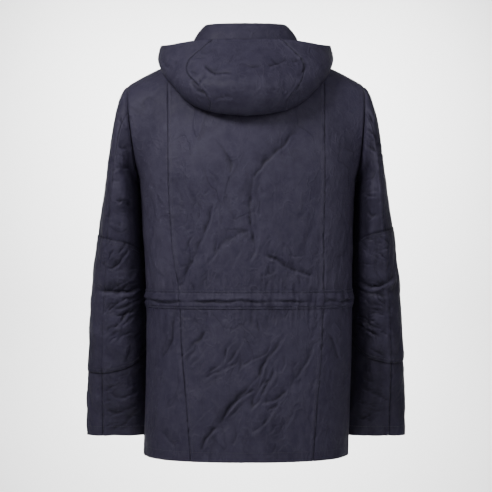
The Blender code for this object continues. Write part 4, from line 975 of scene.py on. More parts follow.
class Surface:
    """A fine grid of points, its normals, the relief pressed into it and the finished points."""

    def __init__(self, base, closed=False):
        self.base, self.closed = base, closed
        self.normals = outward(base, closed)
        self.relief, self.tone = np.zeros(base.shape[:-1]), np.zeros(base.shape[:-1])
        self.up, self.across = run_along(base, 0), run_along(base, 1)
        self.to_top = self.up[-1:] - self.up
        self.to_side = np.minimum(self.across, self.across[:, -1:] - self.across)

    def fade(self, amount, foot=False):
        """0 at the top and the sides, and at the foot if asked, and 1 beyond the given distance from them."""
        fade = eased(self.to_top / amount) * eased(self.to_side / amount)
        return fade * eased(self.up / amount) if foot else fade

    def press(self, relief, tone=0.0):
        """Adds relief, and the share of it that is painted into the wax: paler on rises as wear, darker in hollows as
        painted shade.
        """
        self.relief = self.relief + relief
        self.tone = self.tone + tone * relief

    def press_seam(self, column, way, seed, fade):
        """Adds a felled seam along a column, and says how far each point is from it."""
        away = (self.across - self.across[:, [column]]) * way
        self.press(seam_relief(self.base, away, seed) * fade, SEAM_SHADE)
        return away

    def finish(self):
        """Moves the points along their normals by the relief."""
        self.points = self.base + self.normals * self.relief[..., None]
        self.out = outward(self.points, self.closed)
        return self

    def cut(self, columns=None, rows=None):
        """Points, tone and base of a stretch of columns and rows, or of all."""
        rows, columns = (
            range(count) if chosen is None else chosen for count, chosen in zip(self.points.shape, (rows, columns))
        )
        pick = np.ix_(rows, columns)
        return self.points[pick], self.tone[pick], self.base[pick]


def body_places(face):
    """Places of the columns of one quarter of the body, closer together beside the side-back seam."""
    side, shoulder, neck = (FINENESS[face][name] for name in ("side", "shoulder", "neck"))
    side_part = np.append(np.linspace(0, 1, side + 1)[:-1], BEFORE_SEAM)
    shoulder_part = np.append([1.0, AFTER_SEAM], np.linspace(1, 2, shoulder + 1)[1:-1])
    return np.concatenate([side_part, shoulder_part, np.linspace(2, 3, neck + 1)])


def back_seam():
    """Column of the side-back seam."""
    return nearest(body_places(BACK), 1)


def body_quarter(side, face):
    """Fine grid of one quarter of the body: rows from the hem up, columns the way that faces outwards."""
    lower, upper = (FINENESS[face][name] for name in ("lower", "upper"))
    climbs = np.concatenate([np.linspace(HEM, UNDERARM, lower + 1), np.linspace(0, 1, upper + 1)[1:]])
    place, climb = np.meshgrid(body_places(face), climbs)
    points = body_points(side, face, place, climb)
    return points if side == face else points[:, ::-1]


def press_body(surface, fade, folds, creases, calm=1.0):
    """Presses folds, creases, crumples and the shoulder seam into a face of the body."""
    base = surface.base
    surface.press(-FOLD_SHARE * fold_depth(base, folds) * fade, FOLD_TONE)
    surface.press(crease_relief(base, creases) * fade, CREASE_TONE)
    surface.press(crumples(base) * fade * calm, CRUMPLE_TONE)
    surface.press(-SHOULDER_GROOVE * bell(surface.to_top, SHOULDER_GROOVE_REACH))


def back_surface():
    """The whole back, from side seam to side seam."""
    surface = Surface(np.concatenate([body_quarter(LEFT, BACK), body_quarter(RIGHT, BACK)[:, 1:]], axis=1))
    base, height, to_side = surface.base, surface.base[..., 2], surface.to_side
    fade = surface.fade(FADE["back"])
    calm = 1 - UNDER_HOOD_CALM * eased((height - UNDER_HOOD_FROM) / UNDER_HOOD_RUN)
    creases = BACK_CREASES + scattered(BACK_SCATTER, SCATTER_SEEDS["back"])
    press_body(surface, fade, BACK_FOLDS, creases, calm)
    surface.press(gathers(base) * fade, GATHER_TONE)
    rows = np.linspace(0, 1, len(base))[:, None]
    at_armhole = eased((rows - FINENESS[BACK]["lower"] / (len(base) - 1)) / ARMHOLE_FADE)
    surface.press(-ARMHOLE_GROOVE * bell(to_side, ARMHOLE_REACH_IN) * at_armhole)
    # Painted shade on the back's edges, where the sleeves hang against them.
    surface.tone -= BODY_SIDE_SHADE * bell(to_side, BODY_SIDE_REACH) * within(height, *BODY_SIDE_SPAN)
    # Painted light: paler on the sides of the back.
    surface.tone += SIDE_PAINTED_LIGHT * within(to_side, *SIDE_PAINTED_LIGHT_ACROSS) * within(height, *SIDE_PAINTED_LIGHT_UP)
    columns = (back_seam(), base.shape[1] - 1 - back_seam())
    for column, way, seed in zip(columns, (1, -1), SEAM_SEEDS["back"]):
        surface.press_seam(column, way, seed, eased(surface.to_top / SEAM_FADE))
    return surface.finish()


def front_surface(side):
    """One front, from the side seam to the zip."""
    surface = Surface(body_quarter(side, FRONT))
    creases = FRONT_CREASES + scattered(FRONT_SCATTER, SCATTER_SEEDS["front"])
    press_body(surface, surface.fade(FADE["front"]), FRONT_FOLDS, creases)
    return surface.finish()


def sleeve_turns():
    """Turns of a sleeve's columns, with the two seams on columns of their own."""
    shown = np.linspace(0, SLEEVE_SHOWN_TO, SLEEVE_COLUMNS_SHOWN + 1)[:-1]
    return np.concatenate([shown, np.linspace(SLEEVE_SHOWN_TO, 360, SLEEVE_COLUMNS_HIDDEN + 1)])


def sleeve_rows(side, turns):
    """Base points of a sleeve: rows from the cuff to the armhole."""
    top, bottom = patch_edge(side, turns, True), patch_edge(side, turns, False)
    marks = [np.full_like(turns, CUFF), bottom, top, np.full_like(turns, BICEPS)]
    rows = []
    for low, high, count in zip(marks, marks[1:], SLEEVE_ROWS):
        rows += [sleeve_ring(side, turns, low + (high - low) * k / count) for k in range(count)]
    cap = SLEEVE_ROWS[-1]
    rows += [sleeve_cap(side, turns, np.full_like(turns, 1 - k / cap)) for k in range(cap + 1)]
    return np.stack(rows)


def tucked_in(surface):
    """Adds the turned-in allowance beyond the armhole seam."""
    edge, out = surface.points[-1], surface.out[-2]
    way = unit(edge - surface.points[-3])
    turned = [edge + way * ahead - out * below for ahead, below in ALLOWANCE]
    surface.points = np.concatenate([surface.points, turned])
    surface.out = outward(surface.points, True)
    surface.tone = np.pad(surface.tone, ((0, len(ALLOWANCE)), (0, 0)))
    surface.base = np.pad(surface.base, ((0, len(ALLOWANCE)), (0, 0), (0, 0)), mode="edge")


def inner_swell(side, inner):
    """How far a sleeve's inner side can swell towards the body, at each point of its innermost column."""
    level = -inner[:, 2]
    width = half_width(side, level)
    power, depth = (section(level, BODY_SECTIONS, name) for name in ("power", "back"))
    ahead_of_seam = np.abs(sleeve_size(side, level)[2]) / depth
    room = inner[:, 0] - width * (1 - np.clip(ahead_of_seam, 0, 1) ** power) ** (1 / power) - INNER_CLEARANCE
    gap = inner[:, 0] - width + INNER_OVERLAP
    return np.clip(np.minimum(gap, room), 0, INNER_SWELL_MOST)


def sleeve_surface(side):
    """A whole sleeve, closed round its ring. Its columns run the way that faces outwards."""
    turns = sleeve_turns()
    base = sleeve_rows(side, turns)
    if side == RIGHT:
        base, turns = base[:, ::-1], turns[::-1]
    surface = Surface(base, closed=True)
    up, to_armhole = surface.up, surface.to_top
    fade = eased(to_armhole / FADE["sleeve"])
    from_body = eased((np.abs(turns - 180) - INNER_CALM_TO) / INNER_CALM_RUN)
    fade_in = fade * (INNER_RELIEF + (1 - INNER_RELIEF) * from_body)
    surface.press(-SLEEVE_FOLD_SHARE * sleeve_fold_depth(base, turns) * fade_in, FOLD_TONE)
    swing = BEHIND_SWING * np.sin(np.radians(turns))
    behind = SLEEVE_CREASES[side] + scattered(SLEEVE_SCATTER[side], SCATTER_SEEDS["behind"] + side)
    ahead = SLEEVE_CREASES[-side] + scattered(SLEEVE_SCATTER[-side], SCATTER_SEEDS["ahead"] + side)
    for creases, share in ((behind, eased(BEHIND_SHARE + swing)), (mirror(ahead), eased(BEHIND_SHARE - swing))):
        surface.press(CREASE_GAIN["sleeve"] * crease_relief(base, creases) * share * fade_in, CREASE_TONE)
    surface.press(CRUMPLE_GAIN["sleeve"] * crumples(base) * fade_in, CRUMPLE_TONE)
    low, high = BESIDE_TURNS
    hollow = eased((turns - low) / (high - low)) * (turns < BESIDE_TURNS_END) * fade
    surface.press(-BESIDE_DEPTH * hollow * eased((HOLLOW_END - turns) / HOLLOW_RUN))
    # Painted shade in the hollow beside the body and all over the right sleeve, and on the next line towards both
    # cuffs.
    surface.tone -= BESIDE_SHADE * BESIDE_DEPTH * hollow + SLEEVE_SHADE[side] * fade
    surface.tone -= LOW_SLEEVE_SHADE * eased((LOW_SLEEVE_FROM - base[..., 2]) / LOW_SLEEVE_RUN)
    past = (turns - PATCH_GROOVE_FROM) % 360 + PATCH_GROOVE_FROM
    around_patch = eased((PATCH_GROOVE_TO - past) / PATCH_GROOVE_FADE)
    # Grooves round the elbow patch, darkened with painted shade.
    for row in (SLEEVE_ROWS[0], SLEEVE_ROWS[0] + SLEEVE_ROWS[1]):
        surface.press(-PATCH_GROOVE * bell(up - up[row], PATCH_GROOVE_REACH) * around_patch, PATCH_GROOVE_PAINTED_SHADE)
    swell = inner_swell(side, np.abs(base[:, nearest(turns, 180)]))
    surface.press(swell[:, None] * bell(turns - 180, INNER_SWELL_REACH))
    surface.press(-ARMHOLE_GROOVE * bell(to_armhole, ARMHOLE_REACH_IN))
    for turn, seed in zip((BACK_SEAM_TURN, FRONT_SEAM_TURN), SEAM_SEEDS["sleeve"]):
        surface.press_seam(nearest(turns, turn), side, seed, fade)
    pucker = pattern(base, CAP_PUCKER_SIZE, CAP_PUCKER_SEED) * bell(to_armhole, CAP_PUCKER_REACH)
    surface.press(PUCKER_HEIGHT * pucker * eased(to_armhole / CAP_PUCKER_EDGE))
    tucked_in(surface.finish())
    return surface, turns


def neck_lines():
    """Fine points of the neck seam from the left front edge over the back to the right, and the front edges."""
    places = np.linspace(2, 3, NECK_STEPS + 1)
    line = np.concatenate([
        body_top(LEFT, FRONT, places[::-1]), body_top(LEFT, BACK, places)[1:],
        body_top(RIGHT, BACK, places[::-1])[1:], body_top(RIGHT, FRONT, places)[1:],
    ])
    return line, (line[:, 1] < 0) & (np.abs(line[:, 0]) <= FRONT_EDGE * FRONT_EDGE_MARGIN)


def collar_surface():
    """The stand collar: rows up from the neck seam, columns round the neck."""
    line, edge = neck_lines()
    base = np.stack([collar_points(line, edge, share) for share in np.linspace(0, 1, COLLAR_ROWS + 1)])
    surface = Surface(base)
    surface.press(CRUMPLE_GAIN["collar"] * crumples(base) * surface.fade(FADE["collar"], True), COLLAR_TONE)
    pucker = pattern(base, COLLAR_PUCKER_SIZE, COLLAR_PUCKER_SEED) * surface.fade(COLLAR_PUCKER_EDGE, True)
    surface.press(COLLAR_PUCKER * pucker, COLLAR_PUCKER_TONE)
    return surface.finish()


def hood_base(shares):
    """Base points of the hood: rows at the given shares of the way from the neck seam to the rim."""
    line, _ = neck_lines()
    plans = np.degrees(np.arctan2(line[:, 1], line[:, 0]))
    plans = np.where(plans < -90, plans + 360, plans)
    first = body_top(LEFT, FRONT, np.array([HOOD_FIRST_PLACE]))[0]
    low = math.degrees(math.atan2(first[1], first[0]))
    fine = np.linspace(low, 180 - low, HOOD_PLANS + 1)
    rise = math.radians(HOOD_BASE_RISE)
    columns = []
    for plan in fine:
        start = along(plan, plans, line)
        turn = min(plan, 180 - plan)
        out, high = (
            [float(section(turn, HOOD_SECTIONS, mark + end, "turn")) for mark in HOOD_MARKS] for end in ("_out", "_z")
        )
        way = unit(start * LEVEL)
        knots = [start + (way * math.cos(rise) + UP * math.sin(rise)) * HOOD_BASE]
        columns.append(spline(knots + [way * o + UP * z for o, z in zip(out, high)], HOOD_ROWS))
    left = section(shares, HOOD_SEAMS, "left_turn", "share")
    right = 180 - section(shares, HOOD_SEAMS, "right_turn", "share")
    base = []
    for row, seam_left, seam_right in zip(np.stack(columns, axis=1), left, right):
        marks = (fine[0], seam_left, seam_right, fine[-1])
        where = [np.linspace(a, b, n + 1)[:-1] for a, b, n in zip(marks, marks[1:], HOOD_COUNTS)]
        base.append(along(np.concatenate([*where, marks[-1:]]), fine, row))
    return np.stack(base)


def hood_surface():
    """The hood: rows from the neck seam out, down, round the fold and up to the rim, with its seams on columns."""
    shares = np.linspace(0, 1, HOOD_ROWS + 1)
    surface = Surface(hood_base(shares))
    base, fade = surface.base, surface.fade(FADE["hood"], True)
    outer = eased((shares - HOOD_OUTER_FROM) / HOOD_OUTER_RUN)[:, None]
    creases = crease_relief(base, HOOD_CREASES + scattered(HOOD_SCATTER, SCATTER_SEEDS["hood"]))
    surface.press(CREASE_GAIN["hood"] * creases * outer, HOOD_CREASE_TONE)
    share = HOOD_INNER_CRUMPLES + (1 - HOOD_INNER_CRUMPLES) * outer
    surface.press(CRUMPLE_GAIN["hood"] * crumples(base) * share * fade, CRUMPLE_TONE)
    columns = (HOOD_COUNTS[0], HOOD_COUNTS[0] + HOOD_COUNTS[1])
    for column, way, seed in zip(columns, (1, -1), SEAM_SEEDS["hood"]):
        away = surface.press_seam(column, way, seed, outer)
        wave = pattern(base, HOOD_PUCKER_SIZE, seed + HOOD_PUCKER_SEED, HOOD_PUCKER_STRETCH)
        drawn = (HOOD_PUCKER_MEAN - HOOD_PUCKER_GAIN * np.abs(wave)) * bell(away, HOOD_PUCKER_REACH)
        surface.press(HOOD_PUCKER_HEIGHT * drawn * outer * fade, HOOD_PUCKER_TONE)
    return surface.finish()


# --- finishes ---------------------------------------------------------------------------------------------


def noise_node(tree, name):
    """A named noise pattern in the object's own coordinates."""
    place = tree.nodes.new("ShaderNodeTexCoord")
    made = tree.nodes.new("ShaderNodeTexNoise")
    for socket, number in zip(("Scale", "Detail", "Roughness"), NOISES[name]):
        made.inputs[socket].default_value = number
    tree.links.new(place.outputs["Object"], made.inputs["Vector"])
    return made.outputs["Fac"]


def spread(tree, value, numbers):
    """The value moved from one range to another."""
    made = tree.nodes.new("ShaderNodeMapRange")
    for socket, number in zip(("From Min", "From Max", "To Min", "To Max"), numbers):
        made.inputs[socket].default_value = number
    tree.links.new(value, made.inputs["Value"])
    return made.outputs["Result"]


def blend(tree, factor, first, second):
    """A mix of two colours by a factor. Each colour is three numbers or a socket."""
    made = tree.nodes.new("ShaderNodeMix")
    made.data_type = "RGBA"
    tree.links.new(factor, made.inputs["Factor"])
    for socket, color in ((made.inputs[6], first), (made.inputs[7], second)):
        if isinstance(color, tuple):
            socket.default_value = (*color, 1.0)
        else:
            tree.links.new(color, socket)
    return made.outputs[2]


def math_node(tree, operation, first, second):
    """Arithmetic on a socket and a socket or number."""
    made = tree.nodes.new("ShaderNodeMath")
    made.operation = operation
    tree.links.new(first, made.inputs[0])
    if isinstance(second, (int, float)):
        made.inputs[1].default_value = second
    else:
        tree.links.new(second, made.inputs[1])
    return made.outputs[0]


def crease_lines(tree, numbers, gaps):
    """Fine broken crease lines: 1 along each line and 0 away from it."""
    scale, stretch, width = numbers
    place = tree.nodes.new("ShaderNodeTexCoord")
    turned = tree.nodes.new("ShaderNodeMapping")
    turned.inputs["Scale"].default_value = (1.0, 1.0, stretch)
    tree.links.new(place.outputs["Object"], turned.inputs["Vector"])
    wave = tree.nodes.new("ShaderNodeTexNoise")
    for socket, number in (("Scale", scale), ("Detail", LINE_DETAIL), ("Distortion", LINE_DISTORTION)):
        wave.inputs[socket].default_value = number
    tree.links.new(turned.outputs["Vector"], wave.inputs["Vector"])
    middle = math_node(tree, "ABSOLUTE", math_node(tree, "SUBTRACT", wave.outputs["Fac"], 0.5), 0.0)
    line = spread(tree, middle, (0.0, width, 1.0, 0.0))
    return math_node(tree, "MULTIPLY", line, spread(tree, noise_node(tree, gaps), SPREADS["gaps"]))


def bump(tree, height, name, below=None):
    """A named bump for the light to catch."""
    made = tree.nodes.new("ShaderNodeBump")
    for socket, number in zip(("Distance", "Strength"), BUMPS[name]):
        made.inputs[socket].default_value = number
    tree.links.new(height, made.inputs["Height"])
    if below is not None:
        tree.links.new(below, made.inputs["Normal"])
    return made.outputs["Normal"]


def new_finish(name):
    """A new finish, its nodes and its shader."""
    made = bpy.data.materials.new(name)
    made.use_nodes = True
    return made, made.node_tree, made.node_tree.nodes["Principled BSDF"]


def waxed_cotton(name, dark, light, pale_for_wear_and_light):
    """Waxed cotton: cloudy wax with painted shade in its creases and hollows, paler on rises and flecks as wear and
    on the sides of the back as painted light, on a fine plain weave.
    """
    made, tree, shader = new_finish(name)
    relief = tree.nodes.new("ShaderNodeAttribute")
    relief.attribute_name = "tone"
    tone = relief.outputs["Fac"]
    cloud, fleck = (spread(tree, noise_node(tree, of), SPREADS[of]) for of in ("cloud", "fleck"))
    long_lines = crease_lines(tree, LONG_LINES, "long_gaps")
    short_lines = crease_lines(tree, SHORT_LINES, "short_gaps")
    color = blend(tree, cloud, dark, light)
    # Flecks, short lines and rises pale the wax as wear, and the sides of the back as painted light; long crease
    # lines and hollows darken it as painted shade.
    for factor, second in (
        (math_node(tree, "MULTIPLY", fleck, FLECK_SHARE), pale_for_wear_and_light),
        (spread(tree, tone, SPREADS["rubbed_and_painted_light"]), pale_for_wear_and_light),
        (math_node(tree, "MULTIPLY", long_lines, LONG_LINE_SHARE), tuple(LINE_PAINTED_SHADE * c for c in dark)),
        (math_node(tree, "MULTIPLY", short_lines, SHORT_LINE_SHARE), pale_for_wear_and_light),
        (spread(tree, tone, SPREADS["pressed"]), tuple(PAINTED_SHADE_DARK * c for c in dark)),
    ):
        color = blend(tree, factor, color, second)
    tree.links.new(color, shader.inputs["Base Color"])
    tree.links.new(spread(tree, noise_node(tree, "gloss"), SPREADS["gloss"]), shader.inputs["Roughness"])
    shader.inputs["Specular IOR Level"].default_value = WAX_SPECULAR
    shader.inputs["IOR"].default_value = WAX_IOR
    normal = bump(tree, math_node(tree, "MULTIPLY", long_lines, -1.0), "long_lines")
    normal = bump(tree, short_lines, "short_lines", normal)
    for grain in ("crinkle", "weave"):
        normal = bump(tree, noise_node(tree, grain), grain, normal)
    tree.links.new(normal, shader.inputs["Normal"])
    return made


def plain_finish(name, colors, clouds, roughness, grain=None):
    """A finish of two colours mixed by one noise pattern, with another as its grain. Roughness may be named."""
    made, tree, shader = new_finish(name)
    tree.links.new(blend(tree, noise_node(tree, clouds), *colors), shader.inputs["Base Color"])
    if isinstance(roughness, str):
        rough = spread(tree, noise_node(tree, roughness), SPREADS[roughness])
        tree.links.new(rough, shader.inputs["Roughness"])
    else:
        shader.inputs["Roughness"].default_value = roughness
    if grain:
        tree.links.new(bump(tree, noise_node(tree, grain), grain), shader.inputs["Normal"])
    return made


# --- pieces -----------------------------------------------------------------------------------------------


def linked(made):
    """The object, put in the scene."""
    bpy.context.scene.collection.objects.link(made)
    return made


def meshed(name, bm, finish):
    """An object in the scene, made of a filled mesh."""
    mesh = bpy.data.meshes.new(name)
    bm.to_mesh(mesh)
    bm.free()
    mesh.shade_smooth()
    mesh.materials.append(finish)
    return linked(bpy.data.objects.new(name, mesh))


def filled_grid(grid, tone=None):
    """A mesh with a vertex at each point of a grid, and the tone of each if it is given."""
    rows, columns = grid.shape[:2]
    toned = tone is not None
    bm = bmesh.new()
    if toned:
        bm.loops.layers.uv.new("cloth")
    bmesh.ops.create_grid(bm, x_segments=columns - 1, y_segments=rows - 1, size=1, calc_uvs=toned)
    shade = bm.verts.layers.float.new("tone") if toned else None
    for corner in bm.verts:
        place = round((corner.co.x + 1) / 2 * (columns - 1))
        row = round((corner.co.y + 1) / 2 * (rows - 1))
        corner.co = grid[row, place]
        if toned:
            corner[shade] = float(tone[row, place]) * TONE_SCALE
    return bm


def add_wall(made, thickness, offset=-1.0):
    """Gives a sheet its thickness, inwards or to both sides."""
    wall = made.modifiers.new("wall", "SOLIDIFY")
    wall.thickness = thickness
    wall.offset = offset


def cloth(node, part, finish, thickness=CLOTH, offset=-1.0):
    """A sheet of cloth that stands for a solid, from its points, tone and base."""
    grid, tone, base = part
    made = meshed(node + "_cloth", filled_grid(grid, tone), finish)
    add_wall(made, thickness, offset)
    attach(made, JACKET)
    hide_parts(node)


def small_piece(name, bm, finish):
    """A piece made of a filled mesh."""
    made = meshed(name, bm, finish)
    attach(made, JACKET)
    return made


def placed(middle, *axes):
    """The matrix that sets a shape of size 1 at a place, with its three axes as given."""
    matrix = Matrix(axes).transposed().to_4x4()
    matrix.translation = Vector(middle)
    return matrix


def line_beside(surface, axis, index, away):
    """Points and normals at a distance from a column (axis 1) or row (axis 0) of a surface, along the cloth."""
    points, out = (grid if axis == 1 else grid.swapaxes(0, 1) for grid in (surface.points, surface.out))
    way = slice(index % points.shape[1], None, 1 if away >= 0 else -1)
    points, out = points[:, way][:, :BESIDE_CELLS], out[:, way][:, :BESIDE_CELLS]
    runs = run_along(points, 1)
    found, normals = (np.array([along(abs(away), run, row) for run, row in zip(runs, g)]) for g in (points, out))
    return found, unit(normals)


def stitching(name, finish, rows):
    """One piece of sewing made of several rows of stitches, each along a line with its normals."""
    bm = bmesh.new()
    for line, normals in rows:
        run = run_along(line, 0)
        where = np.arange(STITCH_PITCH / 2, run[-1], STITCH_PITCH)
        ups = unit(along(where, run, normals))
        ahead = unit(along(where + STITCH_PITCH / 4, run, line) - along(where - STITCH_PITCH / 4, run, line))
        points = along(where, run, line) + ups * STITCH_SIZE[2] * STITCH_LIFT
        for point, *axes in zip(points, ahead, unit(np.cross(ups, ahead)), ups):
            matrix = placed(point, *(axis * size for axis, size in zip(axes, STITCH_SIZE)))
            bmesh.ops.create_icosphere(bm, subdivisions=1, radius=1.0, matrix=matrix)
    small_piece(name, bm, finish)


# --- the jacket -------------------------------------------------------------------------------------------


def build_body(navy, thread):
    """Back panels and fronts."""
    back = back_surface()
    last, seam = back.points.shape[1] - 1, back_seam()
    cuts = (("back_side_l", 0, seam), ("back_centre", seam, last - seam), ("back_side_r", last - seam, last))
    for name, low, high in cuts:
        cloth(name, back.cut(range(low, high + 1)), navy)
    beside = [(1, at, way * away) for at, way in ((seam, 1), (last - seam, -1)) for away in TOPSTITCHES]
    beside += [(0, 0, HEM_STITCH), (1, 0, TOPSTITCH_NEAR), (1, last, -TOPSTITCH_NEAR), (0, -1, -TOPSTITCH_NEAR)]
    stitching("back_stitching", thread, [line_beside(back, *place) for place in beside])
    fronts = {}
    for side, letter in LETTERS.items():
        fronts[side] = front = front_surface(side)
        cloth("front_" + letter, front.cut(), navy)
        edge = (1, 0, FRONT_STITCH) if side == LEFT else (1, -1, -FRONT_STITCH)
        sewing = [line_beside(front, *place) for place in (edge, (0, 0, HEM_STITCH))]
        stitching("front_" + letter + "_stitching", thread, sewing)
    return back, fronts


def build_channel(back, navy, thread):
    """The waist channel: a strip sewn over the back, slack along a wavy line below its middle."""
    heights = back.base[:, back.base.shape[1] // 2, 2]
    low, high = nearest(heights, CHANNEL_LOW), nearest(heights, CHANNEL_HIGH)
    count = 2 * (high - low) + 1
    where = np.linspace(low, high, count)
    before = np.minimum(where.astype(int), high - 1)
    share = (where - before)[:, None, None]
    points, out = (grid[before] * (1 - share) + grid[before + 1] * share for grid in (back.points, back.out))
    out = unit(out)
    t = np.linspace(0, 1, count)[:, None]
    wander = CHANNEL_WANDER * pattern(points, CHANNEL_WANDER_SIZE, CHANNEL_WANDER_SEED, LEVEL)
    uneven = UNEVEN_MEAN + UNEVEN_VARY * pattern(points, UNEVEN_SIZE, UNEVEN_SEED, LEVEL)
    slack, lip = (
        height * np.clip(uneven, *UNEVEN_RANGE) * bell(t - middle - wander, reach)
        for middle, reach, height in (CHANNEL_SLACK, CHANNEL_LIP)
    )
    swell = CHANNEL_SWELL * np.sin(np.pi * t).clip(0) ** CHANNEL_SWELL_POWER
    rows = sum(bell(t - middle, CHANNEL_ROW_SPREAD) for middle in CHANNEL_ROWS)
    dimple = DIMPLE * pattern(points, DIMPLE_SIZE, DIMPLE_SEED, LEVEL) * np.minimum(DIMPLE_REACH * rows, 1)
    gather = CHANNEL_GATHER * pattern(points, CHANNEL_GATHER_SIZE, CHANNEL_GATHER_SEED, CHANNEL_GATHER_STRETCH)
    gather = gather * np.sin(np.pi * t)
    across = run_along(points, 1)
    at_sides = eased(np.minimum(across, across[:, -1:] - across) / CHANNEL_EDGE)
    lift = swell + lip + gather - slack - CHANNEL_ROW_DEPTH * rows - dimple
    grid = points + out * (CHANNEL_LIFT + np.maximum(lift, 0) * at_sides)[..., None]
    # Painted shade in the slack fold and the dimples; the gathers paler on rises as wear, darker in hollows as
    # painted shade.
    tone = CHANNEL_GATHER_TONE * gather - SLACK_PAINTED_SHADE * slack - DIMPLE_PAINTED_SHADE * dimple
    cloth("waist_channel", (grid, tone, back.base[low : high + 1]), navy, CHANNEL_CLOTH)
    strip = Surface(grid).finish()
    height = CHANNEL_HIGH - CHANNEL_LOW
    beside = ((0, CHANNEL_STITCH_LOW * height), (-1, -CHANNEL_STITCH_HIGH * height), (-1, -CHANNEL_STITCH_EDGE))
    stitching("waist_channel_stitching", thread, [line_beside(strip, 0, *place) for place in beside])


def build_sleeve(side, letter, navy, thread):
    """Top sleeve, under sleeve, elbow patch and their sewing."""
    sleeve, turns = sleeve_surface(side)
    around = len(turns) - 1
    back_seam, front_seam = (nearest(turns, turn) for turn in (BACK_SEAM_TURN, FRONT_SEAM_TURN))
    low, high = sorted((back_seam, front_seam))
    cloth("under_sleeve_" + letter, sleeve.cut(range(low, high + 1)), navy)
    top = [k % around for k in range(high, low + around + 1)]
    cloth("top_sleeve_" + letter, sleeve.cut(top), navy)
    build_patch(sleeve, turns, side, letter, navy, thread)
    beside = ((0, 0, CUFF_STITCH), (1, back_seam, side * TOPSTITCH_NEAR), (1, front_seam, side * TOPSTITCH_NEAR))
    stitching("sleeve_stitching_" + letter, thread, [line_beside(sleeve, *place) for place in beside])


def build_patch(sleeve, turns, side, letter, navy, thread):
    """The elbow patch on a sleeve and its sewing."""
    around = len(turns) - 1
    rows = range(SLEEVE_ROWS[0], SLEEVE_ROWS[0] + SLEEVE_ROWS[1] + 1)
    start, end = (nearest(turns, turn % 360) for turn in PATCH_TURNS[::side])
    columns = [k % around for k in range(start, (end if end > start else end + around) + 1)]
    points, tone, base = sleeve.cut(columns, rows)
    patch = Surface(points + sleeve.out[np.ix_(rows, columns)] * PATCH_RISE)
    inside = np.minimum(np.minimum(patch.up, patch.to_top), patch.to_side)
    for away in TOPSTITCHES:
        patch.press(-PATCH_STITCH_DIP * bell(inside - away, PATCH_STITCH_WIDTH))
    pucker = pattern(patch.base, PUCKER_SIZE, PATCH_PUCKER_SEED) * bell(inside, PATCH_PUCKER_REACH)
    patch.press(PUCKER_HEIGHT * pucker * eased(inside / PATCH_PUCKER_EDGE))
    name = "elbow_patch_" + letter
    cloth(name, (patch.finish().points, tone, base), navy, PATCH_CLOTH)
    edges = ((0, 0, 1), (0, -1, -1), (1, 0, 1), (1, -1, -1))
    sewing = [line_beside(patch, axis, index, way * away) for away in TOPSTITCHES for axis, index, way in edges]
    stitching(name + "_stitching", thread, sewing)


def build_collar(navy, thread):
    """The stand collar and its topstitching."""
    collar = collar_surface()
    cloth("collar", collar.cut(), navy, COLLAR_CLOTH)
    stitching("collar_stitching", thread, [line_beside(collar, 0, -1, -COLLAR_STITCH)])
    return collar


def build_hood(navy, thread):
    """The hood's three panels and their sewing."""
    hood = hood_surface()
    first, second, last = HOOD_COUNTS[0], HOOD_COUNTS[0] + HOOD_COUNTS[1], sum(HOOD_COUNTS)
    for name, low, high in (("hood_side_l", 0, first), ("hood_centre", first, second), ("hood_side_r", second, last)):
        cloth(name, hood.cut(range(low, high + 1)), navy, HOOD_CLOTH, 0.0)
    beside = [(1, seam, way * TOPSTITCH_NEAR) for seam, way in ((first, 1), (first, -1), (second, -1), (second, 1))]
    sewing = [line_beside(hood, *place) for place in (*beside, (0, -1, -RIM_STITCH))]
    stitching("hood_stitching", thread, [(line + out * HOOD_STITCH_LIFT, out) for line, out in sewing])


def zip_bead(line, out, across, finish):
    """The corded edges of both tapes, a narrow woven strip that closes the chain between its teeth."""
    middle = line - out * (CHAIN_THICKNESS - BEAD_THICKNESS) / 2
    grid = np.stack([middle - across * BEAD_HALF_WIDTH, middle, middle + across * BEAD_HALF_WIDTH], axis=1)
    add_wall(small_piece("zip_bead", filled_grid(grid), finish), BEAD_THICKNESS)


def zip_box(start, end, out, across, finish):
    """The box at the hem that takes the zip's pin, a small rounded block."""
    bm = bmesh.new()
    middle = (start + end) / 2 - out * CHAIN_THICKNESS / 2
    matrix = placed(middle, across * BOX_WIDTH, end - start, out * BOX_THICKNESS)
    bmesh.ops.create_cube(bm, size=1.0, matrix=matrix)
    bmesh.ops.bevel(bm, geom=bm.edges[:], offset=BOX_BEVEL, affect="EDGES", segments=2, profile=0.5, material=-1)
    small_piece("zip_box", bm, finish)


def build_zip(fronts, collar, tape, brass):
    """The chain between the tapes and its box, and finishes for the tapes, slider and pull tab."""
    up_front = (fronts[LEFT].points[:, 0] + fronts[RIGHT].points[:, -1]) / 2
    up_collar = (collar.points[1:, 0] + collar.points[1:, -1]) / 2
    line = np.concatenate([up_front, up_collar])
    run = run_along(line, 0)
    points = along(np.arange(CHAIN_FROM, run[-1] - CHAIN_END, TOOTH_PITCH), run, line)
    up = unit(np.gradient(points, axis=0))
    across = np.array([1.0, 0.0, 0.0])
    out = unit(np.cross(across, up))
    bm = bmesh.new()
    for number, (point, *axes) in enumerate(zip(points, [across] * len(points), up, out)):
        middle = point - axes[2] * CHAIN_THICKNESS / 2 + across * (TOOTH_SHIFT if number % 2 else -TOOTH_SHIFT)
        matrix = placed(middle, *(axis * size for axis, size in zip(axes, TOOTH_SIZE)))
        bmesh.ops.create_cube(bm, size=1.0, matrix=matrix)
    teeth = small_piece("zip_teeth", bm, brass)
    teeth.data.shade_flat()
    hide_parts("zip_chain")
    every = np.append(np.arange(0, len(points) - 1, BEAD_STEP), len(points) - 1)
    zip_bead(points[every], out[every], across, tape)
    start, end = along(np.array([BOX_FROM, BOX_TO]), run, line)
    zip_box(start, end, out[0], across, brass)
    for name, finish in (("zip_tape_l", tape), ("zip_tape_r", tape), ("zip_slider", brass), ("zip_pull", brass)):
        carried = bpy.data.objects[name]
        carried.data.materials.clear()
        carried.data.materials.append(finish)


# --- stage ------------------------------------------------------------------------------------------------


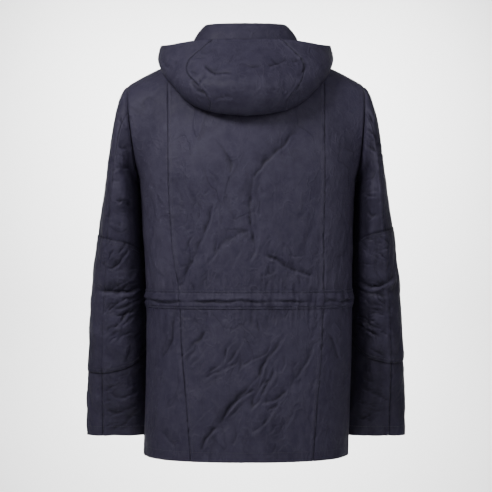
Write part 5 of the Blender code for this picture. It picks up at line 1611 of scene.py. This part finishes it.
def set_stage():
    """Floor, wall, lights and camera."""
    bm = bmesh.new()
    bmesh.ops.create_grid(bm, x_segments=FLOOR_CELLS[0], y_segments=FLOOR_CELLS[1], size=1)
    for corner in bm.verts:
        t = (corner.co.y + 1) / 2
        flat = np.interp(t, (0, FLAT_TO), (0, 1))
        bend = np.interp(t, (FLAT_TO, BEND_TO), (0, math.pi / 2))
        high = np.interp(t, (BEND_TO, 1), (0, 1))
        ahead = FLOOR_START - FLOOR_LENGTH * flat - FLOOR_BEND * math.sin(bend)
        height = FLOOR + FLOOR_BEND * (1 - math.cos(bend)) + WALL_HEIGHT * high
        corner.co = (corner.co.x * FLOOR_HALF_WIDTH, ahead, height)
    bmesh.ops.recalc_face_normals(bm, faces=bm.faces[:])
    meshed("floor", bm, plain_finish("pale_paper", PAPER_COLORS, "paper", PAPER_ROUGHNESS))
    for name, place, target, size, power, angle in LIGHTS:
        data = bpy.data.lights.new(name, "AREA")
        data.shape = "DISK"
        data.size = size
        data.energy = power
        data.spread = math.radians(angle)
        lamp = linked(bpy.data.objects.new(name, data))
        lamp.location = place
        lamp.rotation_euler = (Vector(target) - Vector(place)).to_track_quat("-Z", "Y").to_euler()
    world = bpy.data.worlds.new("pale_air")
    world.use_nodes = True
    world.node_tree.nodes["Background"].inputs["Color"].default_value = (1.0, 1.0, 1.0, 1.0)
    world.node_tree.nodes["Background"].inputs["Strength"].default_value = AIR_LIGHT
    bpy.context.scene.world = world
    data = bpy.data.cameras.new("eye")
    data.lens = data.sensor_width * EYE[1] / SEEN_WIDTH
    camera = linked(bpy.data.objects.new("eye", data))
    camera.location = EYE
    camera.rotation_euler = (math.pi / 2, 0, math.pi)
    bpy.context.scene.camera = camera


def main():
    navy = waxed_cotton("waxed_cotton_navy", *NAVY_COLORS)
    thread = plain_finish("navy_thread", THREAD_COLORS, "thread", THREAD_ROUGHNESS)
    tape = plain_finish("woven_tape", TAPE_COLORS, "tape", TAPE_ROUGHNESS, "tape_grain")
    brass = plain_finish("aged_brass", BRASS_COLORS, "brass", "brass_gloss", "brass_grain")
    brass.node_tree.nodes["Principled BSDF"].inputs["Metallic"].default_value = 1.0
    back, fronts = build_body(navy, thread)
    build_channel(back, navy, thread)
    for side, letter in LETTERS.items():
        build_sleeve(side, letter, navy, thread)
    collar = build_collar(navy, thread)
    build_hood(navy, thread)
    build_zip(fronts, collar, tape, brass)
    set_stage()


main()
